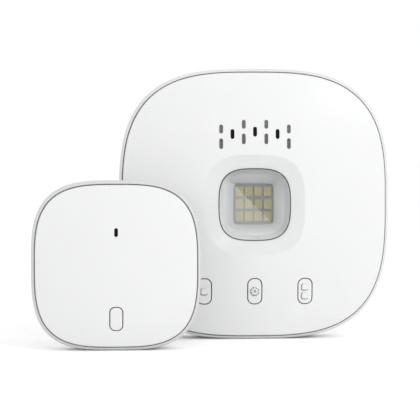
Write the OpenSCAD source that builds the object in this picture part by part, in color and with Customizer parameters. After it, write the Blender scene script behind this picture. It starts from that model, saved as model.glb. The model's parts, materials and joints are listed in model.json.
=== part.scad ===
/* [Hub case] */
// Width and height of the hub across its rim
hub_size = 154; // [150:1:160]
// Depth of the hub from its back to the top of its front
hub_depth = 32; // [31:0.5:35]
// Squareness of the hub's outline, where 2 is a circle
hub_squareness = 3.1; // [2.9:0.05:3.4]
// Rise of the hub's front from its edge to its middle
hub_rise = 5.2; // [4.6:0.1:5.8]
// Wall of the hub's back housing
hub_wall = 2.6; // [2.4:0.1:2.8]
// Wall of the hub's front cover
hub_cover_wall = 2.4; // [2.2:0.1:2.6]
// Width of the hub's rim seen around its front cover
hub_rim = 1.85; // [1.7:0.05:2.1]
// Inset of the hub's flat back from its rim
hub_back_inset = 14; // [12:0.5:16]
// Depth of the round edge at the hub's back
hub_back_round = 9; // [8:0.5:10]
// Drop from the hub's front to the top of its rim
hub_rim_drop = 7; // [6.8:0.1:7.4]

/* [Sensor case] */
// Width and height of the sensor across its rim
sensor_size = 92; // [90:1:96]
// Depth of the sensor from its back to the top of its front
sensor_depth = 24; // [23.6:0.2:26]
// Squareness of the sensor's outline, where 2 is a circle
sensor_squareness = 3.24; // [3.1:0.02:3.4]
// Rise of the sensor's front from its edge to its middle
sensor_rise = 3.6; // [3.2:0.1:4]
// Wall of the sensor's back housing
sensor_wall = 2.8; // [2.6:0.1:3]
// Wall of the sensor's front cover
sensor_cover_wall = 2; // [1.8:0.1:2.2]
// Width of the sensor's rim seen around its front cover
sensor_rim = 2; // [1.8:0.05:2.1]
// Inset of the sensor's flat back from its rim
sensor_back_inset = 9; // [8:0.5:10]
// Depth of the round edge at the sensor's back
sensor_back_round = 6.5; // [5.5:0.5:7.5]
// Drop from the sensor's front to the top of its rim
sensor_rim_drop = 5.5; // [5.2:0.1:5.8]

/* [Case details] */
// Height of the round on both rims
rim_round = 2.4; // [2:0.1:2.6]
// Depth of the ledge below both rims that carries the covers
ledge_drop = 3; // [2.8:0.1:3.4]
// Width of the round at both covers' edges
cover_round = 0.8; // [0.6:0.1:1.2]
// Depth of the covers' skirts below the ledge
skirt_drop = 2.6; // [2.2:0.1:3]
// Thickness of the covers' skirts
skirt_wall = 1.8; // [1.6:0.1:2]
// Half width of the flat middle of both fronts
front_flat = 6; // [5:0.5:8]

/* [Places] */
// Distance from the hub's middle to the sensor's middle, side to side
sensor_aside = 78.6; // [70:0.2:110]
// Distance from the hub's front to the sensor's front
sensor_forward = 48; // [40:1:90]

/* [Clearances] */
// Seam between a front cover and its rim
seam_gap = 0.6; // [0.4:0.05:0.7]
// Gap around a button in its hole
button_gap = 0.6; // [0.4:0.05:0.7]
// Gap between pieces that slide on each other
slide_gap = 0.3; // [0.25:0.05:0.4]
// Gap around a switch plunger
plunger_gap = 0.1; // [0.08:0.01:0.15]
// Gap around a fixed piece in its hole
fixed_gap = 0.1; // [0.05:0.01:0.15]
// Gap around a screw in a through hole
screw_gap = 0.2; // [0.15:0.05:0.3]
// Gap around a screw's thread in its post
thread_gap = 0.05; // [0.03:0.01:0.08]
// Gap around the window lens
lens_gap = 0.5; // [0.4:0.05:0.6]
// Distance from a board's cut corner to the case post beside it
board_corner_gap = 1.8; // [1.5:0.1:2.5]
// Gap between a light and the pipe above it
light_gap = 0.4; // [0.3:0.05:0.6]
// Angle left free on each side of a battery cap lug in its notch
lug_gap_angle = 3; // [2:0.5:4]

/* [Hub window] */
// Width and height of the window lens
lens_size = 40.2; // [39:0.2:42]
// Thickness of the lens before its flange
lens_step = 2; // [1.8:0.1:2.4]
// Height of the lens above the foot of the bezel
lens_proud = 0.6; // [0.4:0.1:0.8]
// Thickness of the lens flange
lens_flange = 1.4; // [1.2:0.1:1.6]
// Width of the lens flange beyond the lens
lens_flange_lip = 2.2; // [1.8:0.1:2.4]
// Width and height of the sunk bezel
bezel_size = 56.8; // [55:0.2:58]
// Depth of the sunk bezel
bezel_depth = 2.6; // [2.2:0.1:2.8]
// Width and height of the reflector's floor opening
led_field = 23.2; // [22.6:0.1:23.6]
// Wall of the reflector
reflector_wall = 1.2; // [1:0.1:1.4]
// Width of the steep band at the reflector's rim
reflector_band = 1.9; // [1.6:0.1:2.2]
// Height of the steep band at the reflector's rim
reflector_band_h = 3.6; // [3:0.1:4]
// Radius of the reflector's screw ears
reflector_ear_r = 3; // [2.8:0.1:3.2]
// Place of the reflector's screws from the middle, each way
reflector_screw_place = 22.5; // [22:0.1:23]
// Radius of the reflector screws
reflector_screw_r = 0.9; // [0.8:0.05:1]
// Depth of the reflector screws in the cover
reflector_screw_grip = 2.8; // [2.4:0.1:3]

/* [LEDs] */
// LEDs in a row
led_columns = 4; // [4:1:4]
// Rows of LEDs
led_rows = 3; // [3:1:3]
// Width of an LED
led_w = 4.4; // [4:0.1:4.6]
// Height of an LED
led_h = 5.4; // [5:0.1:5.8]
// Thickness of an LED
led_t = 1; // [0.8:0.1:1.2]
// Distance between LEDs in a row
led_pitch_x = 5.4; // [5.2:0.1:5.6]
// Distance between rows of LEDs
led_pitch_y = 7.1; // [6.8:0.1:7.2]
// Width and height of the LED board
led_board_size = 26; // [25.4:0.2:27]
// Height of the heat sink
heat_sink_h = 5.4; // [5:0.1:6]
// Thickness of the heat sink's base and fins
heat_sink_wall = 1.6; // [1.4:0.1:1.8]
// Number of heat sink fins
heat_sink_fins = 6; // [4:1:7]

/* [Slots] */
// Width of a slot
slot_w = 2.2; // [2:0.05:2.3]
// Distance between slot columns
slot_pitch = 6.4; // [6:0.1:6.6]
// Radius of the arc that the slot rows follow
slot_arc_r = 61; // [55:1:70]
// Height of the upper sound slots' middle
upper_slot_y = 45.9; // [45.4:0.1:46.4]
// Length of the upper sound slots
upper_slot_h = 5; // [4.6:0.1:5.2]
// Height of the lower sound slots' middle
lower_slot_y = 37.65; // [37.4:0.05:37.9]
// Length of the lower sound slots
lower_slot_h = 6; // [5.6:0.1:6.1]
// Height of the light slots' middle
light_slot_y = 41.4; // [41.2:0.1:41.6]
// Length of the light slots
light_slot_h = 5.6; // [5.4:0.05:5.8]
// Thickness of the dust mesh
mesh_t = 0.6; // [0.5:0.1:0.8]
// Margin of the dust mesh beyond the slots
mesh_margin = 2.2; // [2:0.1:2.4]
// Least cover wall left before the dust mesh
mesh_cover = 1.1; // [1:0.05:1.2]
// Depth that a light pipe's tip lies below the front
tip_sink = 0.35; // [0.2:0.05:0.5]
// Thickness of the light pipe's bar
pipe_bar_t = 1.8; // [1.5:0.1:2]
// Width of the light pipe's bar
pipe_bar_w = 3.6; // [3.2:0.1:4]
// Radius of the light pipe's legs
pipe_leg_r = 1.2; // [1:0.1:1.4]

/* [Buttons] */
// Width of a hub button
button_w = 7.5; // [7.2:0.1:8]
// Height of a hub button
button_h = 14; // [13.6:0.1:14.4]
// Corner radius of a hub button
button_corner = 3.2; // [3:0.1:3.4]
// Distance between the hub buttons
button_pitch = 28.7; // [28:0.1:29.4]
// Distance of the hub buttons below the middle
button_drop = 49.25; // [48.5:0.05:50]
// Travel of every button
button_travel = 0.6; // [0.4:0.05:0.7]
// Width of a button's flange beyond the button
button_lip = 1.2; // [1:0.1:1.4]
// Thickness of a button's flange
button_flange = 1; // [0.8:0.1:1.1]
// Wall of the guide around a button hole
guide_wall = 1.8; // [1.6:0.1:2]
// Drop from the hub's front to the foot of the button guides
guide_drop = 7; // [6.8:0.1:7.4]
// Width of a button's stem
stem_w = 4; // [3.6:0.1:4.4]
// Height of the raised sign on a button
sign_raise = 0.6; // [0.4:0.05:0.8]
// Width of a square sign
sign_w = 3.4; // [3:0.1:3.8]
// Distance between the two squares of the right button
sign_pitch = 5.1; // [4.9:0.1:5.4]
// Outer radius of the gear sign
gear_r = 2.4; // [2.2:0.1:2.6]
// Depth of the gear sign's teeth
gear_tooth = 0.55; // [0.4:0.05:0.6]
// Radius of the hole in the gear sign
gear_hole_r = 0.85; // [0.7:0.05:1]
// Teeth of the gear sign
gear_teeth = 8; // [6:1:10]
// Width of the sensor button
sensor_button_w = 6.4; // [6:0.1:6.8]
// Height of the sensor button
sensor_button_h = 12.1; // [11.8:0.1:12.4]
// Corner radius of the sensor button
sensor_button_corner = 2.5; // [2.2:0.1:2.8]
// Distance of the sensor button below the middle
sensor_button_drop = 28.35; // [28:0.05:28.8]
// Drop from the sensor's front to the foot of its button guide
sensor_guide_drop = 4.9; // [4.8:0.05:5.1]
// Width of the sensor's light slot
sensor_slot_w = 2; // [1.8:0.05:2.2]
// Length of the sensor's light slot
sensor_slot_h = 4.8; // [4.5:0.1:5.1]
// Height of the sensor's light slot above the middle
sensor_slot_y = 18.3; // [18:0.1:19]

/* [Switches] */
// Width of a switch body
switch_w = 6; // [5.8:0.1:6.2]
// Height of a switch body
switch_h = 3.5; // [3.3:0.1:3.6]
// Radius of a switch plunger
plunger_r = 1.7; // [1.5:0.1:1.9]
// Height of a plunger above its switch
plunger_rise = 1.3; // [1.2:0.1:1.4]
// Depth of a plunger in its switch
plunger_seat = 1.3; // [1.1:0.1:1.5]

/* [Hub boards] */
// Height of the main board's underside above the back
board_level = 8.6; // [8.4:0.1:9]
// Thickness of every board
board_t = 1.6; // [1.4:0.1:1.8]
// Width and height of the main board
board_size = 112; // [110:1:114]
// Distance of the board posts from the main board's side
board_post_inset = 6; // [5:0.5:7]
// Place of the board posts from the middle, upwards
board_post_y = 14; // [12:0.5:16]
// Radius of the posts under both boards
board_post_r = 3.2; // [2.8:0.1:3.4]
// Radius of the board screws
board_screw_r = 1.1; // [1:0.05:1.2]
// Depth of the board screws in their posts
board_screw_grip = 6; // [5:0.5:7]
// Width of the Wi-Fi board
wifi_w = 18; // [16:0.5:20]
// Height of the Wi-Fi board
wifi_h = 26; // [24:0.5:28]
// Thickness of the Wi-Fi board
wifi_t = 0.8; // [0.6:0.1:1]
// Width of the shield can
shield_w = 15; // [13:0.5:15.5]
// Height of the shield can
shield_h = 17; // [15:0.5:19]
// Thickness of the shield can
shield_t = 2.2; // [2:0.1:2.6]
// Corner radius of the shield can
shield_corner = 1.1; // [0.8:0.1:2]
// Distance from the edge of the Wi-Fi board to its shield can
shield_margin = 1.5; // [1:0.1:3]
// Width of the largest chip
chip_w = 11; // [9:0.5:12]
// Width of the other chips
small_chip_w = 7; // [6:0.5:8]
// Thickness of the board's chips
chip_t = 1.2; // [1:0.1:1.6]
// Distance from the heat sink to the chips around it
chip_margin = 6; // [4:0.5:7]
// Radius of the capacitors
capacitor_r = 3.2; // [3:0.1:3.5]
// Distance from the power bay's wall to the capacitors
capacitor_margin = 3; // [1.5:0.5:5]
// Height of the capacitors
capacitor_h = 7.5; // [7:0.1:8]
// Radius of the sounder
sounder_r = 9.5; // [9:0.1:10]
// Height of the sounder
sounder_h = 8.5; // [8:0.1:9]
// Radius of the sounder's opening
sounder_port_r = 2; // [1.5:0.1:2.5]
// Radius of the wire antennas
antenna_r = 0.5; // [0.4:0.05:0.6]
// Radius of the bead at a wire antenna's bend
antenna_bend_r = 0.6; // [0.55:0.05:0.8]
// Height of the wire antennas above their boards
antenna_rise = 3; // [2.6:0.1:3.4]
// Length of the hub's wire antenna
antenna_l = 60; // [50:1:64]

/* [Vents] */
// Number of vent slots in the hub's back
vent_count = 9; // [5:2:11]
// Width of a vent slot
vent_w = 2; // [1.6:0.1:2.4]
// Length of a vent slot
vent_l = 10; // [8:0.5:11]
// Distance between vent slots
vent_pitch = 6; // [5:0.1:6.5]
// Height of the vent slots' middle
vent_y = 49; // [48:0.5:50]

/* [Power bay] */
// Place of the power bay from the middle, sideways
bay_x = 14; // [13.8:0.1:14.2]
// Width of the power bay
bay_w = 14; // [13.6:0.1:14.2]
// Depth of the power bay
bay_depth = 11; // [10.8:0.1:11.2]
// Distance of the bay's inner end below the middle
bay_end = 46.2; // [46:0.1:46.6]
// Wall around the power bay
bay_wall = 1.5; // [1.3:0.1:1.6]
// Width of the power socket
socket_w = 7.6; // [7.4:0.1:8]
// Height of the power socket
socket_t = 2.8; // [2.6:0.1:3]
// Length of the power socket
socket_l = 6; // [5.6:0.1:6.4]
// Metal thickness of the power socket
socket_wall = 0.4; // [0.3:0.05:0.5]
// Width of the tongue in the power socket
socket_tongue_w = 3.8; // [3.4:0.1:4.4]
// Thickness of the tongue in the power socket
socket_tongue_t = 0.7; // [0.5:0.1:0.8]
// Length of the socket that stands out in the bay
socket_reach = 0.8; // [0.6:0.1:1]

/* [Screws] */
// Radius of the case screws
case_screw_r = 1.5; // [1.3:0.05:1.6]
// Place of the hub's case screws from the middle, each way
hub_screw_place = 48; // [47.6:0.1:48.4]
// Place of the sensor's case screws from the middle, each way
sensor_screw_place = 29; // [28.8:0.1:29.2]
// Radius of the case screw posts
case_post_r = 3.8; // [3.6:0.1:4]
// Depth of the case screw heads below the back
case_head_sink = 0.8; // [0.6:0.1:1]
// Height of the posts in the back housings
case_post_h = 8; // [7:0.5:8]
// Depth of the case screws in the cover posts
case_screw_grip = 6; // [5:0.5:7]

/* [Wall bracket] */
// Width of the bracket between its tongues
bracket_w = 58; // [56:0.5:59]
// Height of the bracket
bracket_h = 60; // [58:0.5:61]
// Thickness of the bracket
bracket_t = 4.4; // [4.2:0.1:4.6]
// Distance that the bracket stands out of the hub's back
bracket_proud = 0.8; // [0.6:0.1:1]
// Height of the bracket's middle above the hub's middle
bracket_y = 8; // [7:0.5:9]
// Travel of the bracket in the hub
bracket_slide = 12; // [11.5:0.1:12.5]
// Distance between the bracket's screw holes
bracket_hole_pitch = 40; // [36:0.5:42]
// Radius of the bracket's screw holes
bracket_hole_r = 2.25; // [2:0.05:2.5]
// Radius of the bracket's sunk screw seats
bracket_seat_r = 4.6; // [4.2:0.1:5]

/* [Sensor mount] */
// Width of the mount plate between its tongues
plate_w = 39; // [38:0.2:40]
// Height of the mount plate
plate_h = 36; // [35:0.2:37]
// Thickness of the mount plate
plate_t = 3.4; // [3.2:0.1:3.5]
// Distance that the mount plate stands out of the sensor's back
plate_proud = 0.4; // [0.3:0.1:0.6]
// Travel of the mount plate in the sensor
plate_slide = 10; // [9.5:0.1:10.2]
// Thickness of the adhesive pad
pad_t = 1; // [0.8:0.1:1.4]
// Margin of the plate around the adhesive pad
pad_margin = 1.5; // [1:0.1:2]
// Corner radius of the adhesive pad
pad_corner = 3; // [2:0.5:5]

/* [Slide tongues] */
// Length of a tongue on the bracket and the plate
tongue_l = 8; // [7.6:0.1:8.4]
// Width of a tongue
tongue_w = 3.4; // [3:0.1:3.6]
// Thickness of the lips that hold the tongues
lip_t = 1.2; // [1.1:0.05:1.3]
// Place of the tongues from the middle of their plate
tongue_place = 10; // [9.8:0.1:10.2]
// Floor left behind a slide
slide_floor = 1.8; // [1.6:0.1:2]

/* [Sensor inside] */
// Height of the sensor board's underside above the back
sensor_board_level = 11.2; // [11.1:0.1:11.4]
// Width and height of the sensor board
sensor_board_size = 68; // [67:0.5:69]
// Distance of the board posts from the sensor board's side
sensor_post_inset = 4.4; // [4:0.1:4.8]
// Place of the sensor's board posts, upwards
sensor_post_y = 9; // [8:0.5:10]
// Width of the radio module
radio_w = 14; // [12:0.5:15]
// Height of the radio module
radio_h = 16; // [14:0.5:18]
// Thickness of the radio module
radio_t = 2.2; // [2:0.1:2.6]
// Place of the radio module and the tilt switch from the middle, sideways
radio_place = 10; // [9.5:0.1:12]
// Diameter of the coin cell
cell_d = 24.5; // [24:0.1:24.8]
// Thickness of the coin cell
cell_t = 5; // [4.8:0.1:5.1]
// Wall of the battery clip
clip_wall = 0.6; // [0.5:0.1:0.8]
// Width of the openings between the battery clip's arms
clip_opening = 6.2; // [5:0.2:8]
// Radius of the battery cap
cap_r = 15.6; // [15.3:0.1:15.9]
// Wall of the battery cap's collar
cap_collar = 1.2; // [1:0.1:1.4]
// Thickness of the battery cap's lugs
lug_t = 1; // [0.8:0.1:1.1]
// Reach of the battery cap's lugs
lug_reach = 1.8; // [1.6:0.1:2]
// Angle that a lug spans
lug_angle = 30; // [26:1:32]
// Angle that the cap turns from locked to free
cap_turn = 40; // [40:1:42]
// Length of the coin slot in the battery cap
coin_slot_l = 15.6; // [14:0.2:18]
// Width of the coin slot in the battery cap
coin_slot_w = 2.4; // [2:0.1:2.8]
// Depth of the coin slot in the battery cap
coin_slot_depth = 0.8; // [0.6:0.1:1]
// Radius of the tilt switch
tilt_r = 3; // [2.6:0.1:3.2]
// Height of the tilt switch
tilt_h = 6; // [5.5:0.1:6.2]
// Radius of the spring disc on the cell
spring_r = 4; // [3.5:0.1:5]

/* [Hidden] */
$fn = 48;

ring_points = 64;
round_steps = 6;
back_steps = 5;
front_steps = 6;
front_power = 2.4;
join = 0.5;
edge_least = 0.01;
beyond = 200;
head_r_ratio = 2;
head_h_ratio = 1.4;
cross_l_ratio = 1.2;
cross_w_ratio = 0.28;
tooth_tip_share = 0.4;
tooth_foot_share = 0.6;
lug_steps = 4;

white = "white";
case_grey = "gainsboro";
board_green = "seagreen";
chip_black = "dimgray";
metal = "silver";

hub_half = hub_size / 2;
hub_seam = hub_depth - hub_rim_drop;
hub_ledge = hub_seam - ledge_drop;
hub_edge = hub_half - hub_rim - seam_gap / 2;
hub_lip = hub_half - hub_rim + seam_gap / 2;
hub_back = hub_half - hub_back_inset;
sensor_half = sensor_size / 2;
sensor_seam = sensor_depth - sensor_rim_drop;
sensor_ledge = sensor_seam - ledge_drop;
sensor_edge = sensor_half - sensor_rim - seam_gap / 2;
sensor_lip = sensor_half - sensor_rim + seam_gap / 2;
sensor_back = sensor_half - sensor_back_inset;

set_w = sensor_aside + hub_half + sensor_half;
set_d = hub_depth + bracket_proud + sensor_forward;
hub_x = set_w / 2 - hub_half;
hub_y = set_d / 2 - bracket_proud;
sensor_x = hub_x - sensor_aside;
sensor_y = hub_y - hub_depth - sensor_forward + sensor_depth;

board_top = board_level + board_t;
board_cut = corner_cut(board_size, hub_screw_place);
board_post_x = board_size / 2 - board_post_inset;
led_board_level = board_top + heat_sink_h;
led_level = led_board_level + board_t;
lens_half = lens_size / 2;
lens_hole = lens_half + lens_gap;
bezel_half = bezel_size / 2;
bezel_floor = hub_front_z(bezel_half) - bezel_depth;
lens_seat = bezel_floor - lens_step;
lens_back = lens_seat - lens_flange;
flange_half = lens_half + lens_flange_lip;
bezel_places = [for (i = [-1, 1], j = [-1, 1]) [i * reflector_screw_place, j * reflector_screw_place]];

sound_columns = [-3, -1, 1, 3];
light_columns = [-2, 0, 2];
mesh_top = slot_y(upper_slot_y, slot_pitch) + upper_slot_h / 2 + mesh_margin;
mesh_bottom = slot_y(lower_slot_y, 3 * slot_pitch) - lower_slot_h / 2 - mesh_margin;
mesh_half_w = 3 * slot_pitch + slot_w / 2 + mesh_margin;
mesh_face = hub_front_z(squircle_reach([mesh_half_w, mesh_top], hub_squareness)) - mesh_cover;
mesh_back = mesh_face - mesh_t;
pipe_leg_x = 2 * slot_pitch + slot_w / 2 + pipe_leg_r + slide_gap;

button_xs = [-button_pitch, 0, button_pitch];
guide_foot = hub_depth - guide_drop;
sensor_guide_foot = sensor_depth - sensor_guide_drop;
sensor_board_top = sensor_board_level + board_t;
sensor_board_cut = corner_cut(sensor_board_size, sensor_screw_place);
sensor_post_x = sensor_board_size / 2 - sensor_post_inset;
hub_plunger_top = board_top + switch_h + plunger_rise;
sensor_plunger_top = sensor_board_top + switch_h + plunger_rise;

hub_case_places = [for (i = [-1, 1], j = [-1, 1]) [i * hub_screw_place, j * hub_screw_place]];
sensor_case_places = [for (i = [-1, 1], j = [-1, 1]) [i * sensor_screw_place, j * sensor_screw_place]];
board_places = [for (i = [-1, 1], j = [-1, 1]) [i * board_post_x, j * board_post_y]];
sensor_board_places = [for (i = [-1, 1], j = [-1, 1]) [i * sensor_post_x, j * sensor_post_y]];
case_head_r = head_r_ratio * case_screw_r;
case_head_h = head_h_ratio * case_screw_r;
case_seat = case_head_sink + case_head_h;
case_hole_r = case_head_r + screw_gap;
board_head_r = head_r_ratio * board_screw_r;
board_head_h = head_h_ratio * board_screw_r;
hub_post_top = hub_wall + case_post_h;
sensor_post_top = sensor_wall + case_post_h;

bracket_front = bracket_t - bracket_proud;
plate_front = plate_t - plate_proud;
plate_recess = plate_front + slide_gap;
cap_floor = plate_recess + slide_floor;
cap_inside = cap_floor;
lug_level = cap_floor + slide_gap;
cell_level = cap_inside + slide_gap;
cell_top = cell_level + cell_t;
clip_r = cell_d / 2 + fixed_gap;
cap_hole_r = cap_r + slide_gap;
bay_left = bay_x - bay_w / 2 - bay_wall;
bay_right = bay_x + bay_w / 2 + bay_wall;
bay_roof = bay_depth + bay_wall;
socket_level = board_level - socket_t;
socket_mouth = -bay_end - socket_reach;
sounder_x = pipe_leg_x + pipe_leg_r + sounder_r + 2 * slide_gap;
sounder_y = light_slot_y;
chip_place = led_board_size / 2 + chip_margin;
wifi_x = -chip_place - wifi_w / 2;

// Distance from the middle to a squircle of half width 1, at an angle
function squircle_r(a, n) = pow(pow(abs(cos(a)), n) + pow(abs(sin(a)), n), -1 / n);

// Half width of the squircle that goes through a point
function squircle_reach(p, n) = pow(pow(abs(p.x), n) + pow(abs(p.y), n), 1 / n);

// Outline of a squircle, with a flat side at its foot
function squircle(half, n) = [
    for (i = [0 : ring_points - 1])
        let (a = 360 * (i + 0.5) / ring_points)
        half * squircle_r(a, n) * [cos(a), sin(a)]
];

// Outline of a rectangle with round corners
function rounded(w, h, r) = [
    for (q = [0 : 3], i = [0 : round_steps])
        let (a = 90 * (q + i / round_steps), c = 90 * q + 45)
        [sign(cos(c)) * (w / 2 - r) + r * cos(a), sign(sin(c)) * (h / 2 - r) + r * sin(a)]
];

// Cut at the corners of a square board that leaves the case posts clear
function corner_cut(size, post_place) =
    max(join, size - 2 * post_place + sqrt(2) * (case_post_r + board_corner_gap));

// Outline of a square with cut corners
function cut_square(size, cut) = [
    for (q = [0 : 3], s = [-1, 1])
        let (u = size / 2, v = s * (size / 2 - cut))
        [u * cos(90 * q) - v * sin(90 * q), u * sin(90 * q) + v * cos(90 * q)]
];

// Outline of a gear wheel sign
function gear(r, tooth, teeth) = [
    for (i = [0 : teeth - 1], s = [-tooth_foot_share, -tooth_tip_share, tooth_tip_share, tooth_foot_share])
        let (a = 360 * (i + s / 2) / teeth, reach = abs(s) < tooth_foot_share ? r : r - tooth)
        reach * [cos(a), sin(a)]
];

// Height of a front at a squircle of half width s
function front_z(s, depth, rise, edge) =
    depth - rise * pow(max(0, s - front_flat) / (edge - front_flat), front_power);
function hub_front_z(s) = front_z(s, hub_depth, hub_rise, hub_edge);
function sensor_front_z(s) = front_z(s, sensor_depth, sensor_rise, sensor_edge);

// Height of a slot row at a column, following the row's arc
function slot_y(y, x) = y - x * x / (2 * slot_arc_r);

// Section of a back housing, from the middle of its back round its rim to the middle of its floor
function housing_path(half, back, back_round, seam, ledge, lip, wall) = concat(
    [for (i = [0 : back_steps])
        let (a = 90 * i / back_steps)
        [back + (half - back) * sin(a), back_round * (1 - cos(a))]],
    [for (i = [0 : 3])
        let (a = 30 * i)
        [lip + (half - lip) * cos(a), seam - rim_round + rim_round * sin(a)]],
    [[lip, ledge], [half - wall, ledge]],
    [for (i = [back_steps : -1 : 0])
        let (a = 90 * i / back_steps)
        [back + (half - wall - back) * sin(a), wall + (back_round - wall) * (1 - cos(a))]]
);

// Section of a core that fills a housing and reaches half way into its wall
function core_path(half, back, back_round, seam, wall) = concat(
    [for (i = [0 : back_steps])
        let (a = 90 * i / back_steps)
        [back + (half - wall / 2 - back) * sin(a), wall / 2 + (back_round - wall / 2) * (1 - cos(a))]],
    [[half - wall / 2, seam]]
);

// Section of a cover's edge, from its inner wall down round the skirt and up to its front
function edge_path(half, edge, seam, ledge, wall, cover_wall, front) = concat(
    [[half - wall - slide_gap - skirt_wall, front - cover_wall],
     [half - wall - slide_gap - skirt_wall, ledge - skirt_drop],
     [half - wall - slide_gap, ledge - skirt_drop],
     [half - wall - slide_gap, ledge],
     [edge, ledge]],
    [for (i = [3 : -1 : 0])
        let (a = 30 * i)
        [edge - cover_round + cover_round * sin(a), seam + (front - seam) * cos(a)]]
);

// Half widths of the rings of a front, from its edge inwards
function front_rings(from, to) = [for (i = [1 : front_steps]) to + (from - to) * cos(90 * i / front_steps)];

// A solid through squircle rings of half width and height: its first end faces down and its last end up
module stack(path, n) {
    count = len(path);
    polyhedron(
        points = [for (p = path, q = squircle(p[0], p[2] == undef ? n : p[2])) [q.x, q.y, p[1]]],
        faces = concat(
            [[for (i = [0 : ring_points - 1]) i]],
            stack_sides(count - 1, count),
            [[for (i = [ring_points - 1 : -1 : 0]) (count - 1) * ring_points + i]]
        )
    );
}

// A closed frame through squircle rings
module frame(path, n) {
    count = len(path);
    polyhedron(
        points = [for (p = path, q = squircle(p[0], p[2] == undef ? n : p[2])) [q.x, q.y, p[1]]],
        faces = stack_sides(count, count)
    );
}

// Triangles between each ring and the next
function stack_sides(steps, count) = [
    for (k = [0 : steps - 1], i = [0 : ring_points - 1], half = [0, 1])
        let (
            j = (i + 1) % ring_points,
            low = k * ring_points,
            high = ((k + 1) % count) * ring_points
        )
        half == 0 ? [low + i, high + i, high + j] : [low + i, high + j, low + j]
];

// A plate of a 2D outline between two heights
module slab(low, high) {
    translate([0, 0, low])
        linear_extrude(high - low)
            children();
}

// A box between two corners
module box(low, high) {
    translate(low)
        cube(high - low);
}

module at(places) {
    for (p = places)
        translate([p.x, p.y, 0])
            children();
}

module rod(r, low, high) {
    translate([0, 0, low])
        cylinder(r = r, h = high - low);
}

// The hub lies on its back here and is then stood up, with its front towards the viewer
module on_hub() {
    translate([hub_x, hub_y, hub_half])
        rotate([90, 0, 0])
            children();
}

module on_sensor() {
    translate([sensor_x, sensor_y, sensor_half])
        rotate([90, 0, 0])
            children();
}

// Solid under a front, lowered by a drop, that trims what joins the front from behind
module hub_front_solid(drop) {
    inner = hub_edge - cover_round;
    stack(concat(
        [[inner, 0], [inner, hub_front_z(inner) - drop]],
        [for (s = front_rings(inner, front_flat)) [s, hub_front_z(s) - drop]]
    ), hub_squareness);
}

module sensor_front_solid(drop) {
    inner = sensor_edge - cover_round;
    stack(concat(
        [[inner, 0], [inner, sensor_front_z(inner) - drop]],
        [for (s = front_rings(inner, front_flat)) [s, sensor_front_z(s) - drop]]
    ), sensor_squareness);
}

// One screw that points forwards from its head's seat
module screw(r, head_r, head_h, seat, grip_end) {
    cross = [cross_l_ratio, cross_w_ratio] * head_r / 2;
    difference() {
        union() {
            rod(head_r, seat - head_h, seat);
            rod(r, seat - join, grip_end);
        }
        for (turn = [0, 90])
            rotate(turn)
                box([-cross.x, -cross.y, seat - beyond], [cross.x, cross.y, seat - head_h / 2]);
    }
}

// One screw that points backwards from its head's seat
module back_screw(r, head_r, head_h, seat, grip) {
    translate([0, 0, 2 * seat])
        mirror([0, 0, 1])
            screw(r, head_r, head_h, seat, seat + grip);
}

module slot(w, h) {
    polygon(rounded(w, h, w / 2 - edge_least));
}

// Outlines of the sound slots and of the light slots
module sound_slots() {
    for (c = sound_columns) {
        x = c * slot_pitch;
        translate([x, slot_y(upper_slot_y, x)])
            slot(slot_w, upper_slot_h);
        translate([x, slot_y(lower_slot_y, x)])
            slot(slot_w, lower_slot_h);
    }
}

module light_slots(gap) {
    for (c = light_columns) {
        x = c * slot_pitch;
        translate([x, slot_y(light_slot_y, x)])
            slot(slot_w - 2 * gap, light_slot_h - 2 * gap);
    }
}

// Recess in a back for a sliding plate, with the four lips that hold its tongues left standing
module slide_recess(w, h, y, travel, depth) {
    side = w / 2 + tongue_w + slide_gap;
    difference() {
        box([-side, y - h / 2 - travel - slide_gap, -beyond], [side, y + h / 2 + slide_gap, depth]);
        for (s = [-1, 1], t = [-1, 1])
            translate([s * (w / 2 + slide_gap + tongue_w), y + t * tongue_place, 0])
                box([-tongue_w, -tongue_l / 2, 0], [tongue_w, tongue_l / 2, lip_t]);
    }
}

// Floor that closes a slide recess from inside
module slide_pad(w, h, y, travel, depth) {
    side = w / 2 + tongue_w + slide_gap + slide_floor;
    low = y - h / 2 - travel - slide_gap - slide_floor;
    high = y + h / 2 + slide_gap + slide_floor;
    box([-side, low, 0], [side, high, depth + slide_floor]);
}

// Plate with four tongues that runs in a slide recess
module slide_plate(w, h, y, low, high) {
    box([-w / 2, y - h / 2, low], [w / 2, y + h / 2, high]);
    for (t = [-1, 1])
        translate([0, y + t * tongue_place, 0])
            box(
                [-w / 2 - tongue_w, -tongue_l / 2 + slide_gap, lip_t + slide_gap],
                [w / 2 + tongue_w, tongue_l / 2 - slide_gap, high]
            );
}

// Frame around a button hole, and the hole
module button_guide(w, h, corner, foot) {
    reach = button_gap + guide_wall;
    slab(foot, beyond)
        polygon(rounded(w + 2 * reach, h + 2 * reach, corner + reach));
}

module button_hole(w, h, corner) {
    slab(-beyond, beyond)
        polygon(rounded(w + 2 * button_gap, h + 2 * button_gap, corner + button_gap));
}

// Flange and stem of a button, below its cap
module button_back(w, h, corner, foot, stem_end) {
    flange_top = foot - slide_gap;
    flange_level = flange_top - button_flange;
    slab(flange_level, flange_top)
        polygon(rounded(w + 2 * button_lip, h + 2 * button_lip, corner));
    box([-stem_w / 2, -stem_w / 2, stem_end], [stem_w / 2, stem_w / 2, flange_level + join]);
}

module hub_button(x) {
    translate([x, -button_drop, 0])
        button_back(button_w, button_h, button_corner, guide_foot, hub_plunger_top);
    intersection() {
        hub_front_solid(0);
        translate([x, -button_drop, 0])
            slab(guide_foot - slide_gap - button_flange, beyond)
                polygon(rounded(button_w, button_h, button_corner));
    }
}

// Raised sign on a hub button
module hub_sign(x, y) {
    top = hub_front_z(squircle_reach([x, y], hub_squareness)) + sign_raise;
    translate([x, y, 0])
        slab(top - 2 * sign_raise - join, top)
            children();
}

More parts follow.
